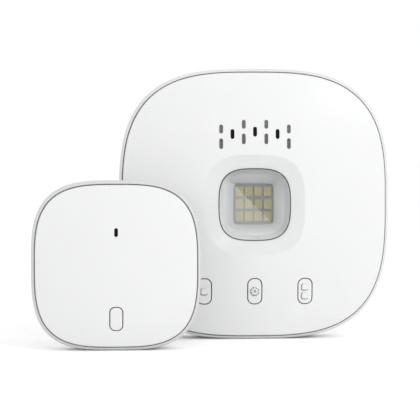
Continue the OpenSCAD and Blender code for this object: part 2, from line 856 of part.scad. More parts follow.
module switch_body(level) {
    difference() {
        box([-switch_w / 2, -switch_w / 2, level], [switch_w / 2, switch_w / 2, level + switch_h]);
        rod(plunger_r + plunger_gap, level + switch_h - plunger_seat - button_travel - slide_gap, beyond);
    }
}

module plunger(level) {
    rod(plunger_r, level + switch_h - plunger_seat, level + switch_h + plunger_rise);
}

module hub_front_cover() {
    inner = hub_edge - cover_round;
    front = hub_front_z(inner);
    bezel_top = bezel_half + join;
    bezel_slope = bezel_depth / (bezel_half - lens_hole);
    under = bezel_half + 2 * join;
    on_hub() color(white) difference() {
        union() {
            frame(concat(
                [[lens_hole, lens_seat], [flange_half + slide_gap, lens_seat]],
                [for (i = [front_steps : -2 : 0])
                    let (s = under + (inner - 2 * skirt_wall - under) * cos(90 * i / front_steps))
                    [s, hub_front_z(s) - hub_cover_wall]],
                edge_path(hub_half, hub_edge, hub_seam, hub_ledge, hub_wall, hub_cover_wall, front),
                [for (s = front_rings(inner, bezel_top)) [s, hub_front_z(s)]],
                [[bezel_half - join, hub_front_z(bezel_half) - join * bezel_slope],
                 [lens_hole, bezel_floor]]
            ), hub_squareness);
            intersection() {
                hub_front_solid(hub_cover_wall / 2);
                union() {
                    for (x = button_xs)
                        translate([x, -button_drop, 0])
                            button_guide(button_w, button_h, button_corner, guide_foot);
                    at(hub_case_places)
                        rod(case_post_r, hub_post_top, beyond);
                    at(bezel_places)
                        rod(reflector_ear_r, lens_back, beyond);
                }
            }
        }
        for (x = button_xs)
            translate([x, -button_drop, 0])
                button_hole(button_w, button_h, button_corner);
        slab(-beyond, beyond)
            sound_slots();
        slab(-beyond, beyond)
            light_slots(0);
        box([-mesh_half_w, mesh_bottom, -beyond], [mesh_half_w, mesh_top, mesh_face]);
        at(hub_case_places)
            rod(case_screw_r + thread_gap, hub_post_top - join, hub_post_top + case_screw_grip + join);
        at(bezel_places)
            rod(
                reflector_screw_r + thread_gap,
                lens_back - join,
                lens_back + reflector_screw_grip + slide_gap
            );
    }
}

module hub_back_housing() {
    recess = bracket_front + slide_gap;
    on_hub() color(case_grey) difference() {
        union() {
            stack(
                housing_path(hub_half, hub_back, hub_back_round, hub_seam, hub_ledge, hub_lip, hub_wall),
                hub_squareness
            );
            intersection() {
                stack(core_path(hub_half, hub_back, hub_back_round, hub_ledge, hub_wall), hub_squareness);
                union() {
                    slide_pad(bracket_w, bracket_h, bracket_y, bracket_slide, recess);
                    box([bay_left, -hub_half, 0], [bay_right, bay_wall - bay_end, bay_roof]);
                    at(hub_case_places)
                        rod(case_post_r, 0, hub_post_top);
                    at(board_places)
                        rod(board_post_r, 0, board_level);
                }
            }
        }
        slide_recess(bracket_w, bracket_h, bracket_y, bracket_slide, recess);
        box([bay_x - bay_w / 2, -hub_half - join, -beyond], [bay_x + bay_w / 2, -bay_end, bay_depth]);
        box(
            [bay_x - socket_w / 2 - fixed_gap, -bay_end - join, socket_level - fixed_gap],
            [bay_x + socket_w / 2 + fixed_gap, 2 * bay_wall - bay_end, board_level + fixed_gap]
        );
        for (i = [0 : vent_count - 1])
            translate([(i - (vent_count - 1) / 2) * vent_pitch, vent_y, 0])
                slab(-beyond, beyond)
                    slot(vent_w, vent_l);
        at(hub_case_places) {
            rod(case_hole_r, -beyond, case_seat);
            rod(case_screw_r + screw_gap, 0, beyond);
        }
        at(board_places)
            rod(board_screw_r + thread_gap, board_level - board_screw_grip - join, beyond);
    }
}

module hub_window_lens() {
    on_hub() color("lightgrey", 0.5) {
        slab(lens_seat - join, bezel_floor + lens_proud)
            polygon(squircle(lens_half, hub_squareness));
        slab(lens_back, lens_seat)
            polygon(squircle(flange_half, hub_squareness));
    }
}

// Tray that narrows from the lens to the LED field
module hub_reflector() {
    square_corners = 12;
    knee_squareness = hub_squareness + 1;
    field = led_field / 2;
    rim = lens_half - join;
    knee = rim - reflector_band;
    knee_level = lens_back - reflector_band_h;
    wall = reflector_wall;
    on_hub() color("lightgrey") difference() {
        union() {
            frame([
                [field, led_level, square_corners],
                [field + wall, led_level, square_corners],
                [knee + wall, knee_level - wall / 2, knee_squareness],
                [rim + wall, lens_back - wall, hub_squareness],
                [flange_half, lens_back - wall, hub_squareness],
                [flange_half, lens_back, hub_squareness],
                [rim, lens_back, hub_squareness],
                [knee, knee_level, knee_squareness],
                [field, led_level + wall / 2, square_corners]
            ], hub_squareness);
            for (p = bezel_places)
                rotate(atan2(p.y, p.x))
                    slab(lens_back - wall, lens_back) {
                        translate([norm(p), 0])
                            circle(reflector_ear_r);
                        translate([flange_half, -reflector_ear_r])
                            square([norm(p) - flange_half, 2 * reflector_ear_r]);
                    }
        }
        at(bezel_places)
            rod(reflector_screw_r + screw_gap, 0, beyond);
    }
}

module hub_reflector_screws() {
    head_r = head_r_ratio * reflector_screw_r;
    head_h = head_h_ratio * reflector_screw_r;
    seat = lens_back - reflector_wall;
    on_hub() color(metal)
        at(bezel_places)
            screw(reflector_screw_r, head_r, head_h, seat, lens_back + reflector_screw_grip);
}

module hub_led_board() {
    on_hub() color("slategray")
        slab(led_board_level, led_level)
            square(led_board_size, center = true);
}

module hub_leds() {
    middle = [led_columns - 1, led_rows - 1] / 2;
    on_hub() color("khaki")
        for (i = [0 : led_columns - 1], j = [0 : led_rows - 1])
            translate([(i - middle.x) * led_pitch_x, (j - middle.y) * led_pitch_y, 0])
                slab(led_level, led_level + led_t)
                    square([led_w, led_h], center = true);
}

module hub_heat_sink() {
    fin_pitch = (led_board_size - heat_sink_wall) / (heat_sink_fins - 1);
    on_hub() color(metal) {
        slab(led_board_level - heat_sink_wall, led_board_level)
            square(led_board_size, center = true);
        for (i = [0 : heat_sink_fins - 1])
            translate([i * fin_pitch - led_board_size / 2, -led_board_size / 2, board_top])
                cube([heat_sink_wall, led_board_size, heat_sink_h - heat_sink_wall / 2]);
    }
}

module hub_main_board() {
    on_hub() color(board_green) difference() {
        slab(board_level, board_top)
            polygon(cut_square(board_size, board_cut));
        box(
            [bay_left - slide_gap, -board_size, 0],
            [bay_right + slide_gap, bay_wall - bay_end + slide_gap, beyond]
        );
        at(board_places)
            rod(board_screw_r + screw_gap, 0, beyond);
    }
}

module hub_board_screws() {
    on_hub() color(metal)
        at(board_places)
            back_screw(board_screw_r, board_head_r, board_head_h, board_top, board_t + board_screw_grip);
}

module hub_wifi_board() {
    on_hub() color("darkslateblue")
        translate([wifi_x, 0, board_top])
            slab(0, wifi_t)
                square([wifi_w, wifi_h], center = true);
}

module hub_wifi_shield() {
    on_hub() color(metal)
        translate([wifi_x, shield_margin + (shield_h - wifi_h) / 2, board_top + wifi_t])
            slab(0, shield_t)
                polygon(rounded(shield_w, shield_h, shield_corner));
}

module hub_chips() {
    big = chip_place + chip_w / 2;
    small = chip_place + small_chip_w / 2;
    on_hub() color(chip_black) {
        translate([big, 0, board_top])
            slab(0, chip_t)
                square(chip_w, center = true);
        for (p = [[big, chip_place], [big, -chip_place], [0, -small], [-small, small]])
            translate([p.x, p.y, board_top])
                slab(0, chip_t)
                    square(small_chip_w, center = true);
    }
}

module hub_capacitors() {
    pitch = 2 * capacitor_r + slide_gap;
    on_hub() color("midnightblue")
        for (i = [-1, 0, 1])
            translate([bay_x + i * pitch, bay_wall - bay_end + capacitor_margin + capacitor_r, board_top])
                rod(capacitor_r, 0, capacitor_h);
}

// Wire that rises from a board and runs along it
module wire_antenna(length) {
    rod(antenna_r, 0, antenna_rise);
    translate([0, 0, antenna_rise])
        sphere(antenna_bend_r);
    translate([0, 0, antenna_rise])
        rotate([-90, 0, 0])
            rod(antenna_r, 0, length);
}

module hub_antenna() {
    on_hub() color("goldenrod")
        translate([2 * board_head_r - board_size / 2, -antenna_l / 2, board_top])
            wire_antenna(antenna_l);
}

module hub_sounder() {
    on_hub() color(chip_black)
        translate([sounder_x, sounder_y, board_top])
            difference() {
                rod(sounder_r, 0, sounder_h);
                rod(sounder_port_r, sounder_h / 2, beyond);
            }
}

module hub_dust_mesh() {
    on_hub() color("gray")
        difference() {
            box(
                [fixed_gap - mesh_half_w, mesh_bottom + fixed_gap, mesh_back],
                [mesh_half_w - fixed_gap, mesh_top - fixed_gap, mesh_face]
            );
            slab(0, beyond)
                light_slots(0);
        }
}

module hub_light_pipe() {
    bar_y = slot_y(light_slot_y, slot_pitch);
    on_hub() color("black") {
        for (c = light_columns) {
            x = c * slot_pitch;
            y = slot_y(light_slot_y, x);
            tip = hub_front_z(squircle_reach([x, y + light_slot_h / 2], hub_squareness)) - tip_sink;
            translate([x, y])
                slab(board_top + led_t + light_gap, tip)
                    slot(slot_w - 2 * fixed_gap, light_slot_h - 2 * fixed_gap);
        }
        box(
            [-pipe_leg_x, bar_y - pipe_bar_w / 2, mesh_back - pipe_bar_t],
            [pipe_leg_x, bar_y + pipe_bar_w / 2, mesh_back]
        );
        for (s = [-1, 1])
            translate([s * pipe_leg_x, bar_y, 0])
                rod(pipe_leg_r, board_top, mesh_back);
    }
}

module hub_indicator_leds() {
    on_hub() color("honeydew")
        for (c = light_columns)
            translate([c * slot_pitch, slot_y(light_slot_y, c * slot_pitch), 0])
                slab(board_top, board_top + led_t)
                    square([slot_w, light_slot_h / 2], center = true);
}

module hub_left_button() {
    on_hub() color(white) {
        hub_button(-button_pitch);
        hub_sign(-button_pitch, -button_drop)
            square(sign_w, center = true);
    }
}

module hub_settings_button() {
    on_hub() color(white) {
        hub_button(0);
        hub_sign(0, -button_drop)
            difference() {
                polygon(gear(gear_r, gear_tooth, gear_teeth));
                circle(gear_hole_r);
            }
    }
}

module hub_right_button() {
    on_hub() color(white) {
        hub_button(button_pitch);
        for (s = [-1, 1])
            hub_sign(button_pitch, s * sign_pitch / 2 - button_drop)
                square(sign_w, center = true);
    }
}

module hub_plunger(x) {
    on_hub() color(chip_black)
        translate([x, -button_drop, 0])
            plunger(board_top);
}

module hub_left_plunger() {
    hub_plunger(-button_pitch);
}

module hub_settings_plunger() {
    hub_plunger(0);
}

module hub_right_plunger() {
    hub_plunger(button_pitch);
}

module hub_button_switches() {
    on_hub() color(metal)
        for (x = button_xs)
            translate([x, -button_drop, 0])
                switch_body(board_top);
}

// Metal socket with a tongue, open towards the foot of the hub
module hub_power_socket() {
    back = socket_mouth + socket_l;
    inside = socket_w / 2 - socket_wall;
    on_hub() color(metal)
        translate([bay_x, 0, 0]) {
            difference() {
                box([-socket_w / 2, socket_mouth, socket_level], [socket_w / 2, back, board_level]);
                box(
                    [-inside, socket_mouth - join, socket_level + socket_wall],
                    [inside, back - 2 * socket_wall, board_level - socket_wall]
                );
            }
            translate([0, 0, socket_level + socket_t / 2])
                box(
                    [-socket_tongue_w / 2, socket_mouth + socket_wall, -socket_tongue_t / 2],
                    [socket_tongue_w / 2, back - socket_wall, socket_tongue_t / 2]
                );
        }
}

module hub_case_screws() {
    on_hub() color(metal)
        at(hub_case_places)
            screw(case_screw_r, case_head_r, case_head_h, case_seat, hub_post_top + case_screw_grip);
}

module wall_bracket() {
    on_hub() color(case_grey) difference() {
        slide_plate(bracket_w, bracket_h, bracket_y, -bracket_proud, bracket_front);
        for (s = [-1, 1])
            translate([0, bracket_y + s * bracket_hole_pitch / 2, 0]) {
                rod(bracket_hole_r, -beyond, beyond);
                rod(bracket_seat_r, bracket_front - bracket_t / 2, beyond);
            }
    }
}

module sensor_front_cover() {
    inner = sensor_edge - cover_round;
    front = sensor_front_z(inner);
    wall = sensor_cover_wall;
    on_sensor() color(white) difference() {
        union() {
            stack(concat(
                [for (i = [front_steps : -2 : 0])
                    let (s = front_flat + (inner - 2 * skirt_wall - front_flat) * cos(90 * i / front_steps))
                    [s, sensor_front_z(s) - wall]],
                edge_path(sensor_half, sensor_edge, sensor_seam, sensor_ledge, sensor_wall, wall, front),
                [for (s = front_rings(inner, front_flat)) [s, sensor_front_z(s)]]
            ), sensor_squareness);
            intersection() {
                sensor_front_solid(wall / 2);
                union() {
                    translate([0, -sensor_button_drop, 0])
                        button_guide(
                            sensor_button_w, sensor_button_h, sensor_button_corner, sensor_guide_foot
                        );
                    at(sensor_case_places)
                        rod(case_post_r, sensor_post_top, beyond);
                }
            }
        }
        translate([0, -sensor_button_drop, 0])
            button_hole(sensor_button_w, sensor_button_h, sensor_button_corner);
        translate([0, sensor_slot_y, 0])
            slab(-beyond, beyond)
                slot(sensor_slot_w, sensor_slot_h);
        at(sensor_case_places)
            rod(
                case_screw_r + thread_gap,
                sensor_post_top - join,
                sensor_post_top + case_screw_grip + join
            );
    }
}

// Three sectors around the battery cap, for its lugs or their notches
module cap_sectors(r, span, turn) {
    arc = [for (i = [0 : lug_steps]) let (a = span * (i / lug_steps - 0.5)) r * [cos(a), sin(a)]];
    for (i = [0 : 2])
        rotate(120 * i + turn)
            polygon(concat([[0, 0]], arc));
}

module sensor_back_housing() {
    wall = sensor_wall;
    back_round = sensor_back_round;
    on_sensor() color(case_grey) difference() {
        union() {
            stack(
                housing_path(
                    sensor_half, sensor_back, back_round, sensor_seam, sensor_ledge, sensor_lip, wall
                ),
                sensor_squareness
            );
            intersection() {
                stack(
                    core_path(sensor_half, sensor_back, back_round, sensor_ledge, wall),
                    sensor_squareness
                );
                union() {
                    slide_pad(plate_w, plate_h, 0, plate_slide, plate_recess);
                    at(sensor_case_places)
                        rod(case_post_r, 0, sensor_post_top);
                    at(sensor_board_places)
                        rod(board_post_r, 0, sensor_board_level);
                }
            }
        }
        slide_recess(plate_w, plate_h, 0, plate_slide, plate_recess);
        rod(cap_hole_r, 0, beyond);
        slab(0, cap_floor + join)
            cap_sectors(cap_hole_r + lug_reach, lug_angle + 2 * lug_gap_angle, cap_turn);
        at(sensor_case_places) {
            rod(case_hole_r, -beyond, case_seat);
            rod(case_screw_r + screw_gap, 0, beyond);
        }
        at(sensor_board_places)
            rod(board_screw_r + thread_gap, sensor_board_level - board_screw_grip, beyond);
    }
}

module sensor_button() {
    w = sensor_button_w;
    h = sensor_button_h;
    corner = sensor_button_corner;
    on_sensor() color(white) {
        translate([0, -sensor_button_drop, 0])
            button_back(w, h, corner, sensor_guide_foot, sensor_plunger_top);
        intersection() {
            sensor_front_solid(0);
            translate([0, -sensor_button_drop, 0])
                slab(sensor_guide_foot - slide_gap - button_flange, beyond)
                    polygon(rounded(w, h, corner));
        }
    }
}

module sensor_plunger() {
    on_sensor() color(chip_black)
        translate([0, -sensor_button_drop, 0])
            plunger(sensor_board_top);
}

module sensor_switch() {
    on_sensor() color(metal)
        translate([0, -sensor_button_drop, 0])
            switch_body(sensor_board_top);
}

module sensor_light_pipe() {
    tip = sensor_front_z(sensor_slot_y + sensor_slot_h / 2) - tip_sink;
    bar_top = sensor_front_z(sensor_slot_y + pipe_bar_w / 2) - sensor_cover_wall - slide_gap;
    leg_x = sensor_slot_w + 2 * pipe_leg_r;
    on_sensor() color("black")
        translate([0, sensor_slot_y, 0]) {
            slab(sensor_board_top + led_t + light_gap, tip)
                slot(sensor_slot_w - 2 * fixed_gap, sensor_slot_h - 2 * fixed_gap);
            box([-leg_x, -pipe_bar_w / 2, bar_top - pipe_bar_t], [leg_x, pipe_bar_w / 2, bar_top]);
            for (s = [-1, 1])
                translate([s * leg_x, 0, 0])
                    rod(pipe_leg_r, sensor_board_top, bar_top);
        }
}

module sensor_indicator_led() {
    on_sensor() color("honeydew")
        translate([0, sensor_slot_y, 0])
            slab(sensor_board_top, sensor_board_top + led_t)
                square([sensor_slot_w, sensor_slot_h / 2], center = true);
}

module sensor_board() {
    on_sensor() color(board_green) difference() {
        slab(sensor_board_level, sensor_board_top)
            polygon(cut_square(sensor_board_size, sensor_board_cut));
        at(sensor_board_places)
            rod(board_screw_r + screw_gap, 0, beyond);
    }
}

module sensor_board_screws() {
    grip = board_t + board_screw_grip - join;
    on_sensor() color(metal)
        at(sensor_board_places)
            back_screw(board_screw_r, board_head_r, board_head_h, sensor_board_top, grip);
}

module sensor_radio_module() {
    on_sensor() color("darkslateblue")
        translate([-radio_place, 0, sensor_board_top])
            slab(0, radio_t)
                square([radio_w, radio_h], center = true);
}

module sensor_antenna() {
    length = sensor_board_size - 2 * sensor_board_cut;
    on_sensor() color("goldenrod")
        translate([-length / 2, sensor_board_size / 2 - board_head_r, sensor_board_top])
            rotate(-90)
                wire_antenna(length);
}

module sensor_tilt_switch() {
    on_sensor() color(metal)
        translate([radio_place, 0, sensor_board_top])
            rod(tilt_r, 0, tilt_h);
}

module sensor_coin_cell() {
    on_sensor() color("lightsteelblue")
        rod(cell_d / 2, cell_level, cell_top);
}

// Disc that presses on the cell from the board
module sensor_battery_spring() {
    on_sensor() color("goldenrod")
        rod(spring_r, cell_top, sensor_board_level);
}

// Open ring under the board that holds the cell by its edge
module sensor_battery_clip() {
    on_sensor() color(metal) difference() {
        rod(clip_r + clip_wall, lug_level + lug_t + slide_gap, sensor_board_level);
        rod(clip_r, 0, beyond);
        for (turn = [0, 90])
            rotate(turn)
                box([-beyond, -clip_opening / 2, 0], [beyond, clip_opening / 2, beyond]);
    }
}

module sensor_battery_cap() {
    slot_end = [coin_slot_l / 2, coin_slot_w / 2];
    on_sensor() color(chip_black) difference() {
        union() {
            rod(cap_r, plate_recess, lug_level + lug_t);
            slab(lug_level, lug_level + lug_t)
                cap_sectors(cap_r + lug_reach, lug_angle, 0);
        }
        rod(cap_r - cap_collar, cap_inside, beyond);
        box([-slot_end.x, -slot_end.y, -beyond], [slot_end.x, slot_end.y, plate_recess + coin_slot_depth]);
    }
}

module sensor_case_screws() {
    on_sensor() color(metal)
        at(sensor_case_places)
            screw(case_screw_r, case_head_r, case_head_h, case_seat, sensor_post_top + case_screw_grip);
}

module sensor_mount_plate() {
    on_sensor() color(case_grey)
        slide_plate(plate_w, plate_h, 0, -plate_proud, plate_front);
}

module sensor_adhesive_pad() {
    on_sensor() color("dimgray")
        slab(-plate_proud - pad_t, -plate_proud)
            polygon(rounded(plate_w - 2 * pad_margin, plate_h - 2 * pad_margin, pad_corner));
}

hub_front_cover();
hub_back_housing();
hub_window_lens();
hub_reflector();
hub_reflector_screws();
hub_led_board();
hub_leds();
hub_heat_sink();
hub_main_board();
hub_board_screws();
hub_wifi_board();
hub_wifi_shield();
hub_chips();
hub_capacitors();
hub_antenna();
hub_sounder();
hub_dust_mesh();
hub_light_pipe();
hub_indicator_leds();
hub_left_button();
hub_settings_button();
hub_right_button();
hub_left_plunger();
hub_settings_plunger();
hub_right_plunger();
hub_button_switches();
hub_power_socket();
hub_case_screws();
wall_bracket();
sensor_front_cover();
sensor_back_housing();
sensor_button();
sensor_plunger();
sensor_switch();
sensor_light_pipe();
sensor_indicator_led();
sensor_board();
sensor_board_screws();
sensor_radio_module();
sensor_antenna();
sensor_tilt_switch();
sensor_coin_cell();
sensor_battery_spring();
sensor_battery_clip();
sensor_battery_cap();
sensor_case_screws();
sensor_mount_plate();
sensor_adhesive_pad();
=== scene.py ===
import json
import math
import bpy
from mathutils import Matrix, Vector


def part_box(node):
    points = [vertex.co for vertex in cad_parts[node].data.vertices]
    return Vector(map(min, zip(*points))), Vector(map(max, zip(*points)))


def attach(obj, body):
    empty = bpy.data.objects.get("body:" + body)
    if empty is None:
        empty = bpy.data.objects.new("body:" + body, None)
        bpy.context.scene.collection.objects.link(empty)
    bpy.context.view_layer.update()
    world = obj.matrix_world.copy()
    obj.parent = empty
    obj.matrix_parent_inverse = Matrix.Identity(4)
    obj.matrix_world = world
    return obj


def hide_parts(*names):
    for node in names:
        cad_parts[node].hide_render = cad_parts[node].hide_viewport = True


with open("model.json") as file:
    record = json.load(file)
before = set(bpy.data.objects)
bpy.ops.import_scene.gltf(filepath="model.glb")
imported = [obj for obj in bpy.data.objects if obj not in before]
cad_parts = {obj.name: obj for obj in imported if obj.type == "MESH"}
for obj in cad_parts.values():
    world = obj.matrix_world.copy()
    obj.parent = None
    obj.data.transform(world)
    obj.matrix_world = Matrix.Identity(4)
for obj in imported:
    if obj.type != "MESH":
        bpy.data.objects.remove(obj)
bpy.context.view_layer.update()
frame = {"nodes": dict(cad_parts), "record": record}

from types import SimpleNamespace as Sizes

import bmesh
import bpy
import numpy
from mathutils import Vector
from mathutils.geometry import delaunay_2d_cdt

MM = 0.001
CAD = frame["nodes"]


# Cases: all lengths are in mm, from the middle of a case's flat back, with z towards its front

COVER_ROUND = 0.8
SEAM_GAP = 0.6
LEDGE_DROP = 3
SKIRT = Sizes(gap=0.3, wall=1.8, depth=2.6)
FLAT_HALF = 6
FRONT_POWER = 2.4


class Case:
    """One upright unit with a squircle outline: its sizes, its front, and where it stands."""

    def __init__(self, housing, n, depth, rise, rim_drop, rim, back_inset, back_round, wall, cover_wall):
        low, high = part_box(housing)
        self.origin = Vector(((low.x + high.x) / 2, high.y, (low.z + high.z) / 2))
        self.half = (high.x - low.x) / 2 / MM
        self.n, self.depth, self.rise = n, depth, rise
        self.seam = depth - rim_drop
        self.ledge = self.seam - LEDGE_DROP
        self.edge = self.half - rim - SEAM_GAP / 2
        self.lip = self.half - rim + SEAM_GAP / 2
        self.inner = self.edge - COVER_ROUND
        self.back = self.half - back_inset
        self.back_round, self.wall, self.cover_wall = back_round, wall, cover_wall
        self.skirt_out = self.half - wall - SKIRT.gap
        self.skirt_in = self.skirt_out - SKIRT.wall

    def place(self, p):
        x, y, z = p
        return self.origin + Vector((x, -z, y)) * MM

    def reach(self, x, y):
        """Half width of the squircle through a point."""
        return (abs(x) ** self.n + abs(y) ** self.n) ** (1 / self.n)

    def front_at(self, s):
        """Height of the front at a half width: flat in the middle, then falling towards the edge."""
        return self.depth - self.rise * (max(0, s - FLAT_HALF) / (self.edge - FLAT_HALF)) ** FRONT_POWER

    def front(self, x, y):
        return self.front_at(self.reach(x, y))


HUB = Case(
    "hub_back_housing", n=3.1, depth=32, rise=5.2, rim_drop=7, rim=1.85,
    back_inset=14, back_round=9, wall=2.6, cover_wall=2.4,
)
SENSOR = Case(
    "sensor_back_housing", n=3.24, depth=24, rise=3.6, rim_drop=5.5, rim=2,
    back_inset=9, back_round=6.5, wall=2.8, cover_wall=2,
)


# Outlines

RING = 256
SHORT_SIDE = 0.02
HAIR = 0.001
TOOTH = ((-0.36, 0), (-0.3, 0), (-0.2, 1), (-0.1, 1), (0.1, 1), (0.2, 1), (0.3, 0), (0.36, 0))
TOOTH_SPREAD = 0.12


def between(a, b, count):
    """Points that divide the way from a to b into equal steps, without a and b."""
    return [(a[0] + (b[0] - a[0]) * i / count, a[1] + (b[1] - a[1]) * i / count) for i in range(1, count)]


def quarter(steps, first=1):
    """Angles of equal steps in a quarter turn, from the first step on."""
    return [math.radians(90 * i / steps) for i in range(first, steps + 1)]


def four(a, b):
    return [(i * a, j * b) for i in (-1, 1) for j in (-1, 1)]


class Rounded:
    """A rectangle with round corners. A circle has a radius of half its width."""

    def __init__(self, x, y, w, h, r, steps=8, side=1.6):
        self.x, self.y, self.w, self.h, self.r = x, y, w, h, r
        self.steps, self.side = steps, side

    def grown(self, d):
        """The same shape, larger by d on every side."""
        return Rounded(self.x, self.y, self.w + 2 * d, self.h + 2 * d, self.r + d, self.steps, self.side)

    def outline(self, d=0.0):
        r = self.r + d
        corners = []
        for q in range(4):
            middle = math.radians(90 * q + 45)
            x = self.x + math.copysign(self.w / 2 - self.r, math.cos(middle))
            y = self.y + math.copysign(self.h / 2 - self.r, math.sin(middle))
            turns = [math.radians(90 * (q + i / self.steps)) for i in range(self.steps + 1)]
            corners.append([(x + r * math.cos(a), y + r * math.sin(a)) for a in turns])
        points = []
        for q, corner in enumerate(corners):
            points += corner
            a, b = corner[-1], corners[(q + 1) % 4][0]
            if math.dist(a, b) > SHORT_SIDE:
                length = (self.w, self.h)[q % 2] - 2 * self.r
                points += between(a, b, max(1, round(length / self.side)))
        return points

    def distance(self, x, y):
        qx = abs(x - self.x) - self.w / 2 + self.r
        qy = abs(y - self.y) - self.h / 2 + self.r
        return math.hypot(max(qx, 0), max(qy, 0)) + min(max(qx, qy), 0) - self.r


def circle(x, y, r, steps=8):
    return Rounded(x, y, 2 * r, 2 * r, r, steps)


def post_group(r, x, y, end):
    """Four posts that end at the same height."""
    return Sizes(shapes=[circle(i, j, r) for i, j in four(x, y)], end=end)


def slot(x, y, w, h):
    """A slot whose round ends are flat by a hair."""
    return Rounded(x, y, w, h, w / 2 - HAIR)


def box_shape(x0, x1, y0, y1, r=0.3):
    return Rounded((x0 + x1) / 2, (y0 + y1) / 2, x1 - x0, y1 - y0, r, 3, 400)


class Bar:
    """A bar with round ends between two points."""

    def __init__(self, a, b, r, steps=10):
        self.ends = (b, a)
        self.turn = math.atan2(b[1] - a[1], b[0] - a[0])
        self.r, self.steps = r, steps

    def outline(self, d=0.0):
        points = []
        for (x, y), start in zip(self.ends, (-90, 90)):
            for i in range(self.steps + 1):
                a = self.turn + math.radians(start + 180 * i / self.steps)
                points.append((x + (self.r + d) * math.cos(a), y + (self.r + d) * math.sin(a)))
        return points


class Sector:
    """A piece of a ring, with its middle at an angle."""

    def __init__(self, inner, outer, middle, span, steps=8):
        self.inner, self.outer, self.middle, self.span, self.steps = inner, outer, middle, span, steps

    def outline(self, d=0.0):
        points = []
        for r, way in ((self.outer + d, 1), (self.inner - d, -1)):
            for i in range(self.steps + 1):
                a = math.radians(self.middle + way * self.span * (i / self.steps - 0.5))
                points.append((r * math.cos(a), r * math.sin(a)))
        return points


class Gear:
    """A toothed outline around a point. TOOTH holds shares of the pitch, with 1 at a tooth's tip."""

    def __init__(self, x, y, r, tooth, teeth):
        self.x, self.y, self.r, self.tooth, self.teeth = x, y, r, tooth, teeth

    def outline(self, d=0.0):
        points = []
        for i in range(self.teeth):
            for share, tip in TOOTH:
                a = 2 * math.pi * (i + share * (1 + TOOTH_SPREAD * d * tip)) / self.teeth
                reach = self.r - self.tooth * (1 - tip) + d
                points.append((self.x + reach * math.cos(a), self.y + reach * math.sin(a)))
        return points

    def distance(self, x, y):
        return math.hypot(x - self.x, y - self.y) - self.r


def squircle(s, n, count=RING):
    points = []
    for i in range(count):
        a = 2 * math.pi * (i + 0.5) / count
        r = s * (abs(math.cos(a)) ** n + abs(math.sin(a)) ** n) ** (-1 / n)
        points.append((r * math.cos(a), r * math.sin(a)))
    return points


def bezier(p0, p1, p2, p3, steps):
    """Points after p0 on a cubic curve."""
    points = []
    for i in range(1, steps + 1):
        t = i / steps
        u = 1 - t
        weights = (u ** 3, 3 * u * u * t, 3 * u * t * t, t ** 3)
        points.append(tuple(sum(w * p[k] for w, p in zip(weights, (p0, p1, p2, p3))) for k in (0, 1)))
    return points


# Meshes: weld distances are in metres, and angles in degrees

WELD = 1e-7
CAD_WELD = 2e-6
SAME_POINT_MM = 1e-7
SHARP = 32
TRAY_SHARP = 40
LED_SHARP = 30
SOFT_SHARP = 35
SAME_PLANE = 0.5
EDGE_MARGIN = 0.2


def in_outline(points, outline):
    """For each point, whether it lies inside a closed outline."""
    x, y = points[:, :1], points[:, 1:]
    a, b = outline, numpy.roll(outline, -1, axis=0)
    across = (a[:, 1] > y) != (b[:, 1] > y)
    rise = numpy.where(a[:, 1] == b[:, 1], 1, b[:, 1] - a[:, 1])
    right = x < (b[:, 0] - a[:, 0]) * (y - a[:, 1]) / rise + a[:, 0]
    return (across & right).sum(axis=1) % 2 == 1


class Shell:
    """A mesh made of loops, of the bands between them and of filled patches."""

    def __init__(self):
        self.verts = []
        self.faces = []

    def loop(self, points, z):
        height = z if callable(z) else lambda x, y: z
        start = len(self.verts)
        self.verts += [(x, y, height(x, y)) for x, y in points]
        return list(range(start, len(self.verts)))

    def band(self, a, b):
        for i in range(len(a)):
            j = (i + 1) % len(a)
            self.faces.append((a[i], a[j], b[j], b[i]))

    def chain(self, loops, first=None):
        """Bands from each loop to the next: gives the first and last loop."""
        last = first
        for new in loops:
            if last is None:
                first = new
            else:
                self.band(last, new)
            last = new
        return first, last

    def rings(self, path, n):
        """Squircle rings through (half width, z) points."""
        return self.chain([self.loop(squircle(s, n), z) for s, z in path])

    def steps(self, shape, path, first=None):
        """Loops of a shape through (offset, z) points, where z can be a function."""
        return self.chain([self.loop(shape.outline(d), z) for d, z in path], first)

    def lid(self, loop):
        self.faces.append(tuple(loop))

    def patch(self, loops, height, seeds=()):
        """Fills the first loop, but not the loops inside it, with triangles through the seed points."""
        known = [i for loop in loops for i in loop]
        points = [Vector(self.verts[i][:2]) for i in known]
        edges = []
        start = 0
        for loop in loops:
            count = len(loop)
            edges += [(start + i, start + (i + 1) % count) for i in range(count)]
            start += count
        points += [Vector(p) for p in seeds]
        verts, _, faces, origin, _, _ = delaunay_2d_cdt(points, edges, [], 0, SAME_POINT_MM)
        index = []
        for v, source in zip(verts, origin):
            if source and source[0] < len(known):
                index.append(known[source[0]])
            else:
                index.append(len(self.verts))
                self.verts.append((v.x, v.y, height(v.x, v.y)))
        flat = numpy.array([(v.x, v.y) for v in verts])
        middles = flat[numpy.array(faces)].mean(axis=1)
        keep = None
        for loop in loops:
            inside = in_outline(middles, numpy.array([self.verts[i][:2] for i in loop]))
            keep = inside if keep is None else keep & ~inside
        self.faces += [tuple(index[i] for i in f) for f, kept in zip(faces, keep) if kept]

    def build(self, name, case, sharp=SHARP):
        mesh = bpy.data.meshes.new(name)
        mesh.from_pydata([case.place(v) for v in self.verts], [], self.faces)
        return finish_mesh(name, mesh, sharp)


def show(name, data):
    obj = bpy.data.objects.new(name, data)
    bpy.context.scene.collection.objects.link(obj)
    return obj


